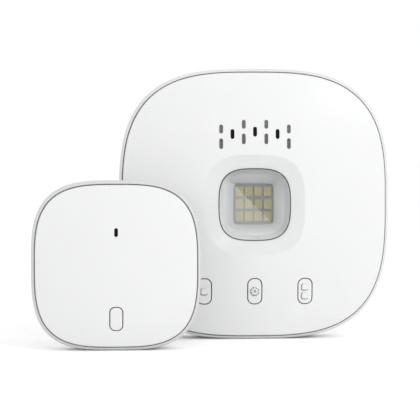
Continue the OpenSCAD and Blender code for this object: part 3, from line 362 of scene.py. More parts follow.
def finish_mesh(name, mesh, sharp=SHARP):
    """An object of a mesh with clean outward faces, smooth up to an angle."""
    bm = bmesh.new()
    bm.from_mesh(mesh)
    bmesh.ops.remove_doubles(bm, verts=bm.verts, dist=WELD)
    loose = [v for v in bm.verts if not v.link_faces]
    bmesh.ops.delete(bm, geom=loose, context="VERTS")
    bmesh.ops.recalc_face_normals(bm, faces=bm.faces)
    bm.to_mesh(mesh)
    bm.free()
    for p in mesh.polygons:
        p.use_smooth = True
    mesh.set_sharp_from_angle(angle=math.radians(sharp))
    return show(name, mesh)


def apply_modifiers(obj):
    bpy.context.view_layer.update()
    mesh = bpy.data.meshes.new_from_object(obj.evaluated_get(bpy.context.evaluated_depsgraph_get()))
    obj.modifiers.clear()
    obj.data = mesh


def boolean(target, tool, operation):
    modifier = target.modifiers.new("cut", "BOOLEAN")
    modifier.operation = operation
    modifier.solver = "EXACT"
    modifier.object = tool
    apply_modifiers(target)
    bpy.data.objects.remove(tool)


def even(obj):
    """Keeps flat faces even beside their rounded edges."""
    modifier = obj.modifiers.new("even", "WEIGHTED_NORMAL")
    modifier.keep_sharp = True
    apply_modifiers(obj)
    return obj


def renewed(body, name, sharp=SHARP):
    """A cleaned piece in place of a cut body."""
    mesh = body.data
    bpy.data.objects.remove(body)
    return even(finish_mesh(name, mesh, sharp))


def softened(solid, name, width, angle=30):
    """A piece in the shape of its solid, with rounded edges."""
    mesh = CAD[solid].data.copy()
    bm = bmesh.new()
    bm.from_mesh(mesh)
    bmesh.ops.remove_doubles(bm, verts=bm.verts, dist=CAD_WELD)
    bmesh.ops.dissolve_limit(
        bm, angle_limit=math.radians(SAME_PLANE), use_dissolve_boundaries=False,
        verts=bm.verts, edges=bm.edges, delimit=set(),
    )
    edges = [e for e in bm.edges if len(e.link_faces) == 2 and e.calc_face_angle() > math.radians(angle)]
    bmesh.ops.bevel(
        bm, geom=edges, offset=width * MM, offset_type="OFFSET", segments=2, profile=0.5,
        affect="EDGES", clamp_overlap=True,
    )
    bm.to_mesh(mesh)
    bm.free()
    mesh.materials.clear()
    return even(finish_mesh(name, mesh, SOFT_SHARP))


def lowered(surface, drop):
    return lambda x, y: surface(x, y) - drop


def round_edge(top, radius):
    """(offset, z) points of a rounded edge, from the front surface into the gap beside it."""
    path = [(radius + EDGE_MARGIN, top), (radius, top)]
    for a in quarter(4):
        path.append((radius * (1 - math.sin(a)), lowered(top, radius * (1 - math.cos(a)))))
    return path


def seed_points(case, start, end, spacing, shapes, margin=1.1, count=160):
    """Points on squircles between two half widths, with a margin round the shapes."""
    points = []
    rows = max(1, round((end - start) / spacing))
    for k in range(1, rows):
        s = start + (end - start) * k / rows
        for x, y in squircle(s, case.n, count):
            if all(shape.distance(x, y) > margin for shape in shapes):
                points.append((x, y))
    return points


# Front covers

SLOT_W = 2.2
SLOT_PITCH = 6.4
SLOT_ARC = 122
SLOT_ROUND = 0.1


def front_slot(column, y, h):
    """A slot of the hub's front. The rows of slots follow a flat arc."""
    x = column * SLOT_PITCH
    return slot(x, y - x * x / SLOT_ARC, SLOT_W, h)


SOUND_ROWS = ((45.9, 5.0), (37.65, 6.0))
SOUND_SLOTS = [front_slot(column, y, h) for column in (-3, -1, 1, 3) for y, h in SOUND_ROWS]
LIGHT_SLOTS = [front_slot(column, 41.4, 5.6) for column in (-2, 0, 2)]
SENSOR_SLOT = slot(0, 18.3, 2, 4.8)
MESH_POCKET = Rounded(0, 39.85, 45, 20.84, 1, side=3)
MESH_FACE = 29
POCKET_FLARE = 0.3
BUTTON_X = 28.7
LEFT_BUTTON, SETTINGS_BUTTON, RIGHT_BUTTON = (
    Rounded(x, -49.25, 7.5, 14, 3.2) for x in (-BUTTON_X, 0, BUTTON_X)
)
SENSOR_BUTTON = Rounded(0, -28.35, 6.4, 12.1, 2.5)
BUTTON_GAP = 0.6
HOLE_ROUND = 0.14
GUIDE_WALL = 1.8
HUB_GUIDE = 25
SENSOR_GUIDE = 19.1
LENS_HALF = 20.1
LENS_HOLE = 20.6
FLANGE_HALF = LENS_HALF + 2.2
FLANGE_HOLE = FLANGE_HALF + 0.3
BEZEL_HALF = 28.4
BEZEL_DEPTH = 2.6
BEZEL_MARGIN = 1.4
BEZEL_BEND = 0.9
BEZEL_LIP = 0.5
BEZEL_LIP_DROP = 0.35
UNDER_HALF = BEZEL_HALF + 1
BEZEL_FLOOR = HUB.front_at(BEZEL_HALF) - BEZEL_DEPTH
LENS_PROUD = 0.6
LENS_EDGE = ((-0.7, 0), (-0.14, 0), (-0.04, -0.04), (0, -0.14))
LENS_BACK_MARGIN = 0.4
LENS_SEAT = BEZEL_FLOOR - 2
LENS_BACK = LENS_SEAT - 1.4
EAR = Sizes(start=18, reach=22.5, r=3, inset=0.02, hole_r=1.1)
EAR_SCREW_HOLE = Sizes(r=0.95, depth=1.2)
CASE_SCREW_HOLE = Sizes(r=1.55, depth=6.5)
WINDOW_POSTS = post_group(EAR.r, EAR.reach, EAR.reach, end=LENS_BACK)
HUB_POSTS = post_group(3.8, 48, 48, end=10.6)
SENSOR_POSTS = post_group(3.8, 29, 29, end=10.8)
FRONT_MARGIN = 0.4
CURVE_PULL = 0.55
SLOPE_STEP = 0.01


def cover_edge(shell, case, inner_z):
    """From the front's edge round the skirt to the inside: gives the loops at both ends."""
    start = case.inner - FRONT_MARGIN
    z = case.front_at(case.inner)
    slope = (case.front_at(case.inner + SLOPE_STEP) - z) / SLOPE_STEP
    pull = CURVE_PULL * COVER_ROUND
    p0 = (case.inner, z)
    p1 = (case.inner + pull, z + pull * slope)
    p2 = (case.edge, z - COVER_ROUND + pull)
    p3 = (case.edge, z - COVER_ROUND)
    foot = case.ledge - SKIRT.depth
    path = [(start, case.front_at(start)), p0] + bezier(p0, p1, p2, p3, 8)
    path += [(case.edge, case.ledge), (case.skirt_out, case.ledge), (case.skirt_out, foot)]
    path += [(case.skirt_in, foot), (case.skirt_in, inner_z)]
    return shell.rings(path, case.n)


def bezel_path():
    """(half width, z) points from the front down the bezel to the lens's seat."""
    slope = BEZEL_DEPTH / (BEZEL_HALF - LENS_HOLE)
    widths = (BEZEL_HALF + BEZEL_MARGIN, BEZEL_HALF + BEZEL_BEND, BEZEL_HALF)
    outer, start, bend = ((s, HUB.front_at(s)) for s in widths)
    foot = (BEZEL_HALF - BEZEL_BEND, bend[1] - BEZEL_BEND * slope)
    lip = (LENS_HOLE + BEZEL_LIP, BEZEL_FLOOR + BEZEL_LIP * slope)
    corner = (LENS_HOLE, BEZEL_FLOOR)
    wall_top = (LENS_HOLE, BEZEL_FLOOR - BEZEL_LIP_DROP)
    path = [outer, start] + bezier(start, bend, bend, foot, 6)
    path += between(foot, lip, 6) + [lip]
    path += bezier(lip, corner, corner, wall_top, 5)
    return path + [(LENS_HOLE, LENS_SEAT), (FLANGE_HOLE, LENS_SEAT)]


def button_hole(shell, case, hole, guide, inner):
    """A hole with a guide behind it: gives its loops on the front and inside."""
    path = round_edge(case.front, HOLE_ROUND)
    path += [(0, guide), (GUIDE_WALL, guide), (GUIDE_WALL, inner)]
    return shell.steps(hole, path)


def posts(shell, group, inner, hole):
    """Posts on the inner surface, each with a screw hole: gives their loops on that surface."""
    loops = []
    for shape in group.shapes:
        step = hole.r - shape.r
        path = [(0, inner), (0, group.end), (step, group.end), (step, group.end + hole.depth)]
        first, last = shell.steps(shape, path)
        shell.lid(last)
        loops.append(first)
    return loops


def hub_cover():
    case = HUB
    shell = Shell()
    front = case.front
    slots = SOUND_SLOTS + LIGHT_SLOTS
    holes = [shape.grown(BUTTON_GAP) for shape in (LEFT_BUTTON, SETTINGS_BUTTON, RIGHT_BUTTON)]

    def inner_at(s):
        if s < UNDER_HALF:
            rise = case.front_at(UNDER_HALF) - case.cover_wall - LENS_SEAT
            return LENS_SEAT + rise * (s - FLANGE_HOLE) / (UNDER_HALF - FLANGE_HOLE)
        return case.front_at(s) - case.cover_wall

    def inner(x, y):
        return inner_at(case.reach(x, y))

    def pocket_top(x, y):
        return max(inner(x, y), MESH_FACE)

    front_edge, inner_edge = cover_edge(shell, case, inner_at(case.skirt_in))
    bezel_edge, seat_edge = shell.rings(bezel_path(), case.n)
    front_loops = [front_edge, bezel_edge]
    inner_loops = [inner_edge, seat_edge]
    pocket_loops = []
    for shape in slots:
        first, last = shell.steps(shape, round_edge(front, SLOT_ROUND) + [(0, pocket_top)])
        front_loops.append(first)
        pocket_loops.append(last)
    for hole in holes:
        first, last = button_hole(shell, case, hole, HUB_GUIDE, inner)
        front_loops.append(first)
        inner_loops.append(last)
    pocket_mouth, pocket_edge = shell.steps(MESH_POCKET, [(POCKET_FLARE, inner), (0, pocket_top)])
    inner_loops.append(pocket_mouth)
    inner_loops += posts(shell, HUB_POSTS, inner, CASE_SCREW_HOLE)
    inner_loops += posts(shell, WINDOW_POSTS, inner, EAR_SCREW_HOLE)

    start, end = BEZEL_HALF + BEZEL_MARGIN, case.inner - FRONT_MARGIN
    shell.patch(front_loops, front, seed_points(case, start, end, 1.7, slots + holes))
    shell.patch([pocket_edge] + pocket_loops, pocket_top)
    solids = [hole.grown(GUIDE_WALL) for hole in holes] + HUB_POSTS.shapes + WINDOW_POSTS.shapes
    solids.append(MESH_POCKET.grown(POCKET_FLARE))
    inner_seeds = seed_points(case, FLANGE_HOLE, case.skirt_in, 6, solids, margin=1, count=96)
    shell.patch(inner_loops, inner, inner_seeds)
    return shell.build("hub_shell", case)


def sensor_cover():
    case = SENSOR
    shell = Shell()
    front = case.front
    inner = lowered(front, case.cover_wall)
    hole = SENSOR_BUTTON.grown(BUTTON_GAP)
    front_edge, inner_edge = cover_edge(shell, case, case.front_at(case.skirt_in) - case.cover_wall)
    slot_front, slot_back = shell.steps(SENSOR_SLOT, round_edge(front, SLOT_ROUND) + [(0, inner)])
    hole_front, hole_back = button_hole(shell, case, hole, SENSOR_GUIDE, inner)
    inner_loops = [inner_edge, slot_back, hole_back]
    inner_loops += posts(shell, SENSOR_POSTS, inner, CASE_SCREW_HOLE)
    middle = [(0, 0)]
    cuts = [SENSOR_SLOT, hole]
    front_seeds = seed_points(case, 0, case.inner - FRONT_MARGIN, 1.6, cuts, count=128)
    shell.patch([front_edge, slot_front, hole_front], front, front_seeds + middle)
    solids = [hole.grown(GUIDE_WALL), SENSOR_SLOT] + SENSOR_POSTS.shapes
    inner_seeds = seed_points(case, 0, case.skirt_in, 5, solids, margin=1, count=72)
    shell.patch(inner_loops, inner, inner_seeds + middle)
    return shell.build("sensor_shell", case)


# Back housings

EDGE_ROUND = 2.4
LIP_FLAT = 0.2
LIP_CHAMFER = 0.06
BACK_MARGIN = 1.5
CORE_DROP = 0.5
UNDER = -1
HUB_RECESS = Sizes(half=32.7, low=-34.3, high=38.3, depth=3.9, lips_y=8)
SENSOR_RECESS = Sizes(half=23.2, low=-28.3, high=18.3, depth=3.3, lips_y=0)
RECESS_WALL = 1.8
RECESS_CORNER = 0.8
RECESS_FLARE = 0.35
LIP = Sizes(inside=3.4, outside=2, reach=10, half=4, thick=1.2)
HUB_BOARD_POSTS = post_group(3.2, 50, 14, end=8.6)
SENSOR_BOARD_POSTS = post_group(3.2, 29.6, 9, end=11.2)
SCREW = Sizes(seat_r=3.2, seat=2.9, hole_r=1.7, hole_end=12)
SMALL_FLARE = 0.3
VENT = Sizes(count=9, pitch=6, y=49, w=2, h=10, depth=6)
BAY = Sizes(left=7, right=21, low=-80, high=-46.2, depth=11, corner=1.2, flare=0.4, wall=1.5)
SOCKET_HOLE = box_shape(10.1, 17.9, -46.8, -43.2)
SOCKET_HOLE_Z = (5.7, 8.7)
CAP_HOLE_R = 15.9
CAP_HOLE_Z = (2, 7)
NOTCH = Sizes(inner=14, outer=17.7, turn=40, span=36)
NOTCH_Z = (2, 5.6)


def lathe(case, path, name):
    """A solid through squircle rings, closed by a lid at both ends."""
    shell = Shell()
    for loop in shell.rings(path, case.n):
        shell.lid(loop)
    return shell.build(name, case)


def prism(case, name, parts, sharp=SHARP):
    """Solids that don't overlap, each a shape with (offset, z) points."""
    shell = Shell()
    for shape, path in parts:
        for loop in shell.steps(shape, path):
            shell.lid(loop)
    return shell.build(name, case, sharp)


def cut(body, case, parts):
    boolean(body, prism(case, "cuts", parts), "DIFFERENCE")


def straight(low, high):
    return [(0, low), (0, high)]


def sunk(depth, flare):
    """(offset, z) points of a cut from below the back, with a rounded mouth."""
    path = [(flare, UNDER), (flare, 0)]
    path += [(flare * (1 - math.sin(a)), flare * (1 - math.cos(a))) for a in quarter(4)]
    return path + [(0, depth)]


def back_arc(half, back, low, high, steps):
    """(half width, z) points from the flat back round to the side."""
    turns = quarter(steps, first=0)
    return [(back + (half - back) * math.sin(a), low + (high - low) * (1 - math.cos(a))) for a in turns]


def housing_blank(case, name):
    """The outside, the round front edge, the lip, the ledge and the inside of a housing."""
    inside = case.half - case.wall
    crest = case.lip + LIP_FLAT
    foot = case.seam - EDGE_ROUND
    path = [(case.back - BACK_MARGIN, 0)] + back_arc(case.half, case.back, 0, case.back_round, 18)
    path.append((case.half, foot))
    for a in quarter(10):
        path.append((crest + (case.half - crest) * math.cos(a), foot + EDGE_ROUND * math.sin(a)))
    path += [(case.lip + LIP_CHAMFER, case.seam - LIP_CHAMFER), (case.lip, case.seam - LIP_FLAT)]
    path += [(case.lip, case.ledge), (inside, case.ledge)]
    path += reversed(back_arc(inside, case.back, case.wall, case.back_round, 12))
    return lathe(case, path, name)


def housing_core(case, name):
    """The space in a housing, out to the middle of its wall."""
    side = case.half - case.wall / 2
    path = back_arc(side, case.back, case.wall / 2, case.back_round, 18)
    path.append((side, case.ledge - CORE_DROP))
    return lathe(case, path, name)


def slide_cut(case, recess):
    """Recess for a sliding plate, with four lips left standing over the plate's tongues."""
    outline = box_shape(-recess.half, recess.half, recess.low, recess.high, RECESS_CORNER)
    hollow = prism(case, "recess", [(outline, sunk(recess.depth, RECESS_FLARE))])
    lips = []
    for s, t in four(1, 1):
        x0, x1 = sorted((s * (recess.half - LIP.inside), s * (recess.half + LIP.outside)))
        y = recess.lips_y + t * LIP.reach
        lips.append((box_shape(x0, x1, y - LIP.half, y + LIP.half), straight(0, LIP.thick)))
    cut(hollow, case, lips)
    return hollow


def housing(case, name, recess, post_groups, blocks=()):
    """A housing with its posts, other blocks and the recess for its sliding plate."""
    body = housing_blank(case, name)
    inside = housing_core(case, "core")
    wall = RECESS_WALL
    back = box_shape(-recess.half - wall, recess.half + wall, recess.low - wall, recess.high + wall)
    solids = [(back, straight(UNDER, recess.depth + wall)), *blocks]
    for group in post_groups:
        solids += [(shape, straight(UNDER, group.end)) for shape in group.shapes]
    boolean(inside, prism(case, "blocks", solids), "INTERSECT")
    boolean(body, inside, "UNION")
    boolean(body, slide_cut(case, recess), "DIFFERENCE")
    return body


def screw_cuts(group):
    """Sunk seats and holes for the case screws."""
    step = SCREW.hole_r - SCREW.seat_r
    path = sunk(SCREW.seat, SMALL_FLARE) + [(step, SCREW.seat), (step, SCREW.hole_end)]
    return [(circle(shape.x, shape.y, SCREW.seat_r, 10), path) for shape in group.shapes]


def hub_housing():
    case = HUB
    wall = BAY.wall
    block = box_shape(BAY.left - wall, BAY.right + wall, BAY.low, BAY.high + wall)
    bay = box_shape(BAY.left, BAY.right, BAY.low, BAY.high, BAY.corner)
    blocks = [(block, straight(UNDER, BAY.depth + wall))]
    body = housing(case, "hub_back_shell", HUB_RECESS, (HUB_POSTS, HUB_BOARD_POSTS), blocks)
    cuts = screw_cuts(HUB_POSTS)
    for i in range(VENT.count):
        x = (i - (VENT.count - 1) / 2) * VENT.pitch
        cuts.append((slot(x, VENT.y, VENT.w, VENT.h), sunk(VENT.depth, SMALL_FLARE)))
    cut(body, case, cuts)
    cut(body, case, [(bay, sunk(BAY.depth, BAY.flare))])
    cut(body, case, [(SOCKET_HOLE, straight(*SOCKET_HOLE_Z))])
    return renewed(body, "hub_back_case")


def sensor_housing():
    case = SENSOR
    body = housing(case, "sensor_back_shell", SENSOR_RECESS, (SENSOR_POSTS, SENSOR_BOARD_POSTS))
    cut(body, case, screw_cuts(SENSOR_POSTS))
    cut(body, case, [(circle(0, 0, CAP_HOLE_R, 16), straight(*CAP_HOLE_Z))])
    notches = [Sector(NOTCH.inner, NOTCH.outer, NOTCH.turn + 120 * i, NOTCH.span) for i in range(3)]
    cut(body, case, [(notch, straight(*NOTCH_Z)) for notch in notches])
    return renewed(body, "sensor_back_case")


# Buttons

CAP_MARGIN = 0.75
CAP_FLAT = 0.3
CAP_ROUND = 0.22
CAP_FLANGE = Sizes(gap=0.3, wide=1.2, thick=1)
STEM_W = 4
STEM_CORNER = 0.4
SIGN_RAISE = 0.6
SIGN_W = 3.4
SIGN_GAP = 0.7
SIGN_SHIFT = 0.05 - SIGN_GAP / 2
SIGN_SINK = 1.6
SIGN_ROUND = 0.9
SIGN_POCKET_ROUND = SIGN_ROUND + 0.1
SIGN_EDGE = 0.12
SIGN_MOUTH = ((0.1, 0), (0.02, 0), (0, SIGN_SINK))
TWO_SIGNS = 2.55
GEAR = Sizes(r=2.25, teeth=8, tooth=0.55, gap=0.35, shift=-0.21, hole_r=0.85)
GRID_STEP = 0.9
GRID_MARGIN = 1.1
GRID_SIGN_MARGIN = SIGN_GAP + 0.4


def button(name, case, shape, guide, stem_end, signs=()):
    """A cap that follows the front, with raised signs, a flange behind the cover and a stem."""
    shell = Shell()
    front = case.front
    flange = guide - CAP_FLANGE.gap
    back = flange - CAP_FLANGE.thick
    path = [(-CAP_MARGIN, front), (-CAP_FLAT, front)]
    for a in quarter(5):
        path.append((-CAP_ROUND * (1 - math.sin(a)), lowered(front, CAP_ROUND * (1 - math.cos(a)))))
    path += [(0, flange), (CAP_FLANGE.wide, flange), (CAP_FLANGE.wide, back)]
    edge, last = shell.steps(shape, path)
    stem = Rounded(shape.x, shape.y, STEM_W, STEM_W, STEM_CORNER, shape.steps, STEM_W)
    stem_first, stem_last = shell.steps(stem, straight(back, stem_end))
    shell.lid(stem_last)
    shell.patch([last, stem_first], lambda x, y: back)
    loops = [edge]
    bottom = lowered(front, SIGN_SINK)
    for sign, pocket, hole in signs:
        top = front(sign.x, sign.y) + SIGN_RAISE
        mouth, foot = shell.steps(pocket, [(d, lowered(front, drop)) for d, drop in SIGN_MOUTH])
        loops.append(mouth)
        path = [(0, bottom), (0, top - SIGN_EDGE), (-SIGN_EDGE / 3, top - SIGN_EDGE / 3)]
        path += [(-SIGN_EDGE, top), (-2 * SIGN_EDGE, top)]
        _, rim = shell.steps(sign, path, foot)
        if hole is None:
            shell.lid(rim)
        else:
            path = [(SIGN_EDGE / 2, top), (0, top - SIGN_EDGE / 2), (0, bottom)]
            inner_rim, hole_end = shell.steps(hole, path)
            shell.lid(hole_end)
            shell.patch([rim, inner_rim], lambda x, y: top)
    grid = []
    for i in range(-int(shape.w), int(shape.w) + 1):
        for j in range(-int(shape.h), int(shape.h) + 1):
            x, y = shape.x + i * GRID_STEP, shape.y + j * GRID_STEP
            clear = all(sign.distance(x, y) > GRID_SIGN_MARGIN for sign, _, _ in signs)
            if clear and shape.distance(x, y) < -GRID_MARGIN:
                grid.append((x, y))
    shell.patch(loops, front, grid)
    return shell.build(name, case)


def square_signs(shape, *heights):
    """Tiles on a button, each with a pocket that is wider at the left and below."""
    w = SIGN_W + SIGN_GAP
    signs = []
    for height in heights:
        x, y = shape.x, shape.y + height
        tile = Rounded(x, y, SIGN_W, SIGN_W, SIGN_ROUND, 4, 9)
        pocket = Rounded(x + SIGN_SHIFT, y + SIGN_SHIFT, w, w, SIGN_POCKET_ROUND, 4, 9)
        signs.append((tile, pocket, None))
    return signs


def gear_signs(shape):
    """A gear wheel on a button, with its round pocket and its hole."""
    x, y = shape.x, shape.y
    wheel = Gear(x, y, GEAR.r, GEAR.tooth, GEAR.teeth)
    pocket = Gear(x + GEAR.shift, y + GEAR.shift, GEAR.r + GEAR.gap, 0, GEAR.teeth)
    return [(wheel, pocket, circle(x, y, GEAR.hole_r, 6))]


# Window

FIELD_HALF = 11.6
LED_LEVEL = 17.2
LED = Sizes(columns=4, rows=3, pitch_x=5.4, pitch_y=7.1, w=4.4, h=5.4, corner=0.35)
LED_PROFILE = ((0, 0), (0, 0.85), (-0.05, 0.96), (-0.15, 1), (-0.35, 1), (-0.42, 0.88))
# Sizes of the dark ring of painted shade in the gap round the lens
GAP_SHADE = Sizes(drop=0.45, gap=0.03, lift=0.05, chamfer=0.1)
TRAY_WALL = 1.2
TRAY_RIM = LENS_HALF - 0.1
TRAY_KNEE_HALF = TRAY_RIM - 2.3
TRAY_KNEE = LENS_BACK - 3.6
SQUARE_N = 12
SHOULDER_N = 4.1
KNEE_N = 3.9
BAND_N = 3.7
TURN_POWER = 1.4


def window_lens():
    half, z = LENS_HALF, BEZEL_FLOOR + LENS_PROUD
    path = [(half + d, z + rise) for d, rise in LENS_EDGE]
    path += [(half, LENS_SEAT), (FLANGE_HALF, LENS_SEAT), (FLANGE_HALF, LENS_BACK)]
    path.append((FLANGE_HALF - LENS_BACK_MARGIN, LENS_BACK))
    return lathe(HUB, path, "window_pane")


def window_gap_shade():
    """Dark ring in the gap between the lens and the bezel: painted shade, a dark sheet standing where the
    gap's shade falls.
    """
    shell = Shell()
    inner, outer = LENS_HALF + GAP_SHADE.gap, LENS_HOLE - GAP_SHADE.gap
    foot, top = LENS_SEAT + GAP_SHADE.lift, BEZEL_FLOOR - GAP_SHADE.drop
    path = [(outer, foot), (outer, top - GAP_SHADE.chamfer), (outer - GAP_SHADE.chamfer, top)]
    path += [(inner + GAP_SHADE.chamfer, top), (inner, top - GAP_SHADE.chamfer), (inner, foot)]
    first, last = shell.rings(path, HUB.n)
    shell.band(last, first)
    return shell.build("window_gap_shade", HUB)


def reflector():
    """Tray whose outline turns from the LED field's square to the lens's squircle."""
    case = HUB
    shell = Shell()
    wall = TRAY_WALL
    field, level = FIELD_HALF, LED_LEVEL
    knee, knee_z = TRAY_KNEE_HALF, TRAY_KNEE
    flange_z = LENS_BACK - wall
    foot = (field + 0.15, level + 0.72)
    shoulder = (knee - 0.35, knee_z - 0.23)
    bend = (knee + 0.12, knee_z + 0.25)
    rim = (TRAY_RIM, LENS_BACK)

    inside = [(field, level, SQUARE_N), (field, level + 0.5, SQUARE_N), (*foot, SQUARE_N)]
    slope = between(foot, shoulder, 8) + [shoulder]
    for i, (s, z) in enumerate(slope):
        t = (i + 1) / len(slope)
        inside.append((s, z, SQUARE_N + (SHOULDER_N - SQUARE_N) * t ** TURN_POWER))
    inside += [(knee - 0.08, knee_z - 0.08, KNEE_N), (*bend, BAND_N)]
    for t in (0.33, 0.67, 1):
        s, z = (a + (b - a) * t for a, b in zip(bend, rim))
        inside.append((s, z, BAND_N + (case.n - BAND_N) * t))
    outside = [(FLANGE_HALF, LENS_BACK, case.n), (FLANGE_HALF, flange_z, case.n)]
    outside += [(TRAY_RIM + wall, flange_z, case.n), (knee + wall, knee_z - wall / 2, SHOULDER_N)]
    outside.append((field + wall, level, SQUARE_N))
    first, last = shell.chain([shell.loop(squircle(s, n), z) for s, z, n in inside + outside])
    shell.band(last, first)
    body = shell.build("reflector_body", case, TRAY_SHARP)
    ears = []
    holes = []
    for i, j in four(1, 1):
        bar = Bar((i * EAR.start, j * EAR.start), (i * EAR.reach, j * EAR.reach), EAR.r)
        ears.append((bar, straight(flange_z + EAR.inset, LENS_BACK - EAR.inset)))
        hole = circle(i * EAR.reach, j * EAR.reach, EAR.hole_r)
        holes.append((hole, straight(LENS_BACK - 3, LENS_BACK + 1)))
    boolean(body, prism(case, "ears", ears), "UNION")
    cut(body, case, holes)
    return renewed(body, "reflector_tray", TRAY_SHARP)


def led_packages():
    """Packages with a frame and a slightly sunk phosphor field."""
    path = [(d, LED_LEVEL + z) for d, z in LED_PROFILE]
    packages = []
    for i in range(LED.columns):
        for j in range(LED.rows):
            x = (i - (LED.columns - 1) / 2) * LED.pitch_x
            y = (j - (LED.rows - 1) / 2) * LED.pitch_y
            packages.append((Rounded(x, y, LED.w, LED.h, LED.corner, 3, 8), path))
    return prism(HUB, "light_packages", packages, LED_SHARP)


# Materials: distances are in metres, and scales are per metre

FLOW_SCALE = 38
PATCH_SCALE = 240
LINE_SCALE = 900
LINE_STRETCH = (1, 1, 14)
TRACK_SCALE = 260
TRACK_W = 0.035
THREAD_SCALE = 720
GRAIN_SCALE = 2600
GRAIN_DEPTH = 0.00003
GLOSS_CHANGE = 0.04
DEEP_SHADE = 0.86


def first_node(tree, kind):
    return next(n for n in tree.nodes if n.type == kind)


def fill(tree, target, inputs):
    """Gives a node's inputs their values, or links them to the sockets that feed them."""
    for key, value in inputs.items():
        if isinstance(value, bpy.types.NodeSocket):
            tree.links.new(value, target.inputs[key])
        else:
            target.inputs[key].default_value = value


def node(tree, kind, inputs=None, **settings):
    n = tree.nodes.new(kind)
    for key, value in settings.items():
        setattr(n, key, value)
    fill(tree, n, inputs or {})
    return n


def blank(name):
    material = bpy.data.materials.new(name)
    material.use_nodes = True
    return material, material.node_tree


def shader(name, roughness, metallic=0.0):
    material, tree = blank(name)
    principled = first_node(tree, "BSDF_PRINCIPLED")
    fill(tree, principled, {"Roughness": roughness, "Metallic": metallic})
    return material, tree, principled


def place_on(tree):
    return node(tree, "ShaderNodeTexCoord").outputs["Object"]


def axes_of(tree):
    """Place on the part, axis by axis."""
    return node(tree, "ShaderNodeSeparateXYZ", {"Vector": place_on(tree)}).outputs


def noise(tree, scale, detail=2, stretch=(1, 1, 1)):
    mapping = node(tree, "ShaderNodeMapping", {"Vector": place_on(tree), "Scale": stretch})
    inputs = {"Vector": mapping.outputs["Vector"], "Scale": scale, "Detail": detail}
    return node(tree, "ShaderNodeTexNoise", inputs).outputs["Fac"]


def ramp(tree, source, low, high, start=0.3, end=0.7):
    r = node(tree, "ShaderNodeValToRGB", {"Fac": source})
    for element, position, colour in zip(r.color_ramp.elements, (start, end), (low, high)):
        element.position = position
        element.color = (*colour, 1)
    return r.outputs["Color"]


def spread(tree, source, low, high, start=0.3, end=0.7):
    """Goes from low to high while the source goes from start to end."""
    inputs = {"Value": source, "From Min": start, "From Max": end, "To Min": low, "To Max": high}
    return node(tree, "ShaderNodeMapRange", inputs).outputs["Result"]


def calc(tree, operation, *values):
    """Result of a Math node, from sockets and numbers."""
    return node(tree, "ShaderNodeMath", dict(enumerate(values)), operation=operation).outputs["Value"]


def bump(tree, principled, source, strength, distance=GRAIN_DEPTH):
    b = node(tree, "ShaderNodeBump", {"Height": source, "Strength": strength, "Distance": distance})
    fill(tree, principled, {"Normal": b.outputs["Normal"]})


def shaded(colour, shade):
    return tuple(c * shade for c in colour)


def uneven(tree, roughness):
    """Roughness that changes a little from place to place."""
    return spread(tree, noise(tree, PATCH_SCALE), roughness - GLOSS_CHANGE, roughness + GLOSS_CHANGE)


def moulded(name, colour, roughness, shade=0.97, grain=GRAIN_SCALE, grain_strength=0.05, gloss=0.5):
    """Moulded plastic: faint flow marks in its colour, a fine grain and a little change in gloss."""
    material, tree, principled = shader(name, roughness)
    fill(tree, principled, {
        "Base Color": ramp(tree, noise(tree, FLOW_SCALE, 4), shaded(colour, shade), colour),
        "Roughness": uneven(tree, roughness),
        "Specular IOR Level": gloss,
    })
    bump(tree, principled, noise(tree, grain), grain_strength)
    return material


def paint_bezel_shade(material, shade, blend=0.5):
    """Paints shade on the hub's plastic: a little darker on the sunk bezel round the window, where shade
    falls in the recess.
    """
    tree = material.node_tree
    principled = first_node(tree, "BSDF_PRINCIPLED")
    colour = principled.inputs["Base Color"].links[0].from_socket
    axes = axes_of(tree)
    powers = []
    for axis, middle in (("X", HUB.origin.x), ("Z", HUB.origin.z)):
        away = calc(tree, "ABSOLUTE", calc(tree, "SUBTRACT", axes[axis], middle))
        powers.append(calc(tree, "POWER", away, HUB.n))
    reach = calc(tree, "POWER", calc(tree, "ADD", *powers), 1 / HUB.n)
    bezel_shade = spread(tree, reach, shade, 1, (BEZEL_HALF - blend) * MM, (BEZEL_HALF + blend) * MM)
    scaled = node(tree, "ShaderNodeVectorMath", {"Vector": colour, "Scale": bezel_shade}, operation="SCALE")
    fill(tree, principled, {"Base Color": scaled.outputs["Vector"]})
    return material


def tray_painted_shade(name, deep, rim, roughness=0.34):
    """Moulded plastic with painted shade: darker deep in the tray by the LEDs, lighter out to the tray's
    knee.
    """
    material, tree, principled = shader(name, roughness)
    start, end = (HUB.place((0, 0, z)).y for z in (LED_LEVEL, TRAY_KNEE))
    height = spread(tree, axes_of(tree)["Y"], 0, 1, start, end)
    fill(tree, principled, {
        "Base Color": ramp(tree, height, deep, rim, 0, 1),
        "Roughness": uneven(tree, roughness),
        "Specular IOR Level": 0.15,
    })
    bump(tree, principled, noise(tree, 1800), 0.1)
    return material


def metal(name, colour, roughness):
    """Metal with fine lines along one way."""
    material, tree, principled = shader(name, roughness, 1.0)
    lines = noise(tree, LINE_SCALE, 3, LINE_STRETCH)
    fill(tree, principled, {
        "Base Color": ramp(tree, lines, shaded(colour, DEEP_SHADE), colour),
        "Roughness": spread(tree, lines, roughness - 0.06, roughness + 0.1),
    })
    bump(tree, principled, lines, 0.05, 0.00002)
    return material


def circuit(name, colour, track):
    """Solder mask with faint tracks under it."""
    material, tree, principled = shader(name, 0.35)
    turn = node(tree, "ShaderNodeMapping", {"Vector": place_on(tree), "Rotation": (math.radians(90), 0, 0)})
    bricks = node(tree, "ShaderNodeTexBrick", {
        "Vector": turn.outputs["Vector"],
        "Color1": (*colour, 1),
        "Color2": (*shaded(colour, DEEP_SHADE), 1),
        "Mortar": (*track, 1),
        "Scale": TRACK_SCALE,
        "Mortar Size": TRACK_W,
    })
    fill(tree, principled, {"Base Color": bricks.outputs["Color"]})
    bump(tree, principled, bricks.outputs["Fac"], 0.2)
    return material


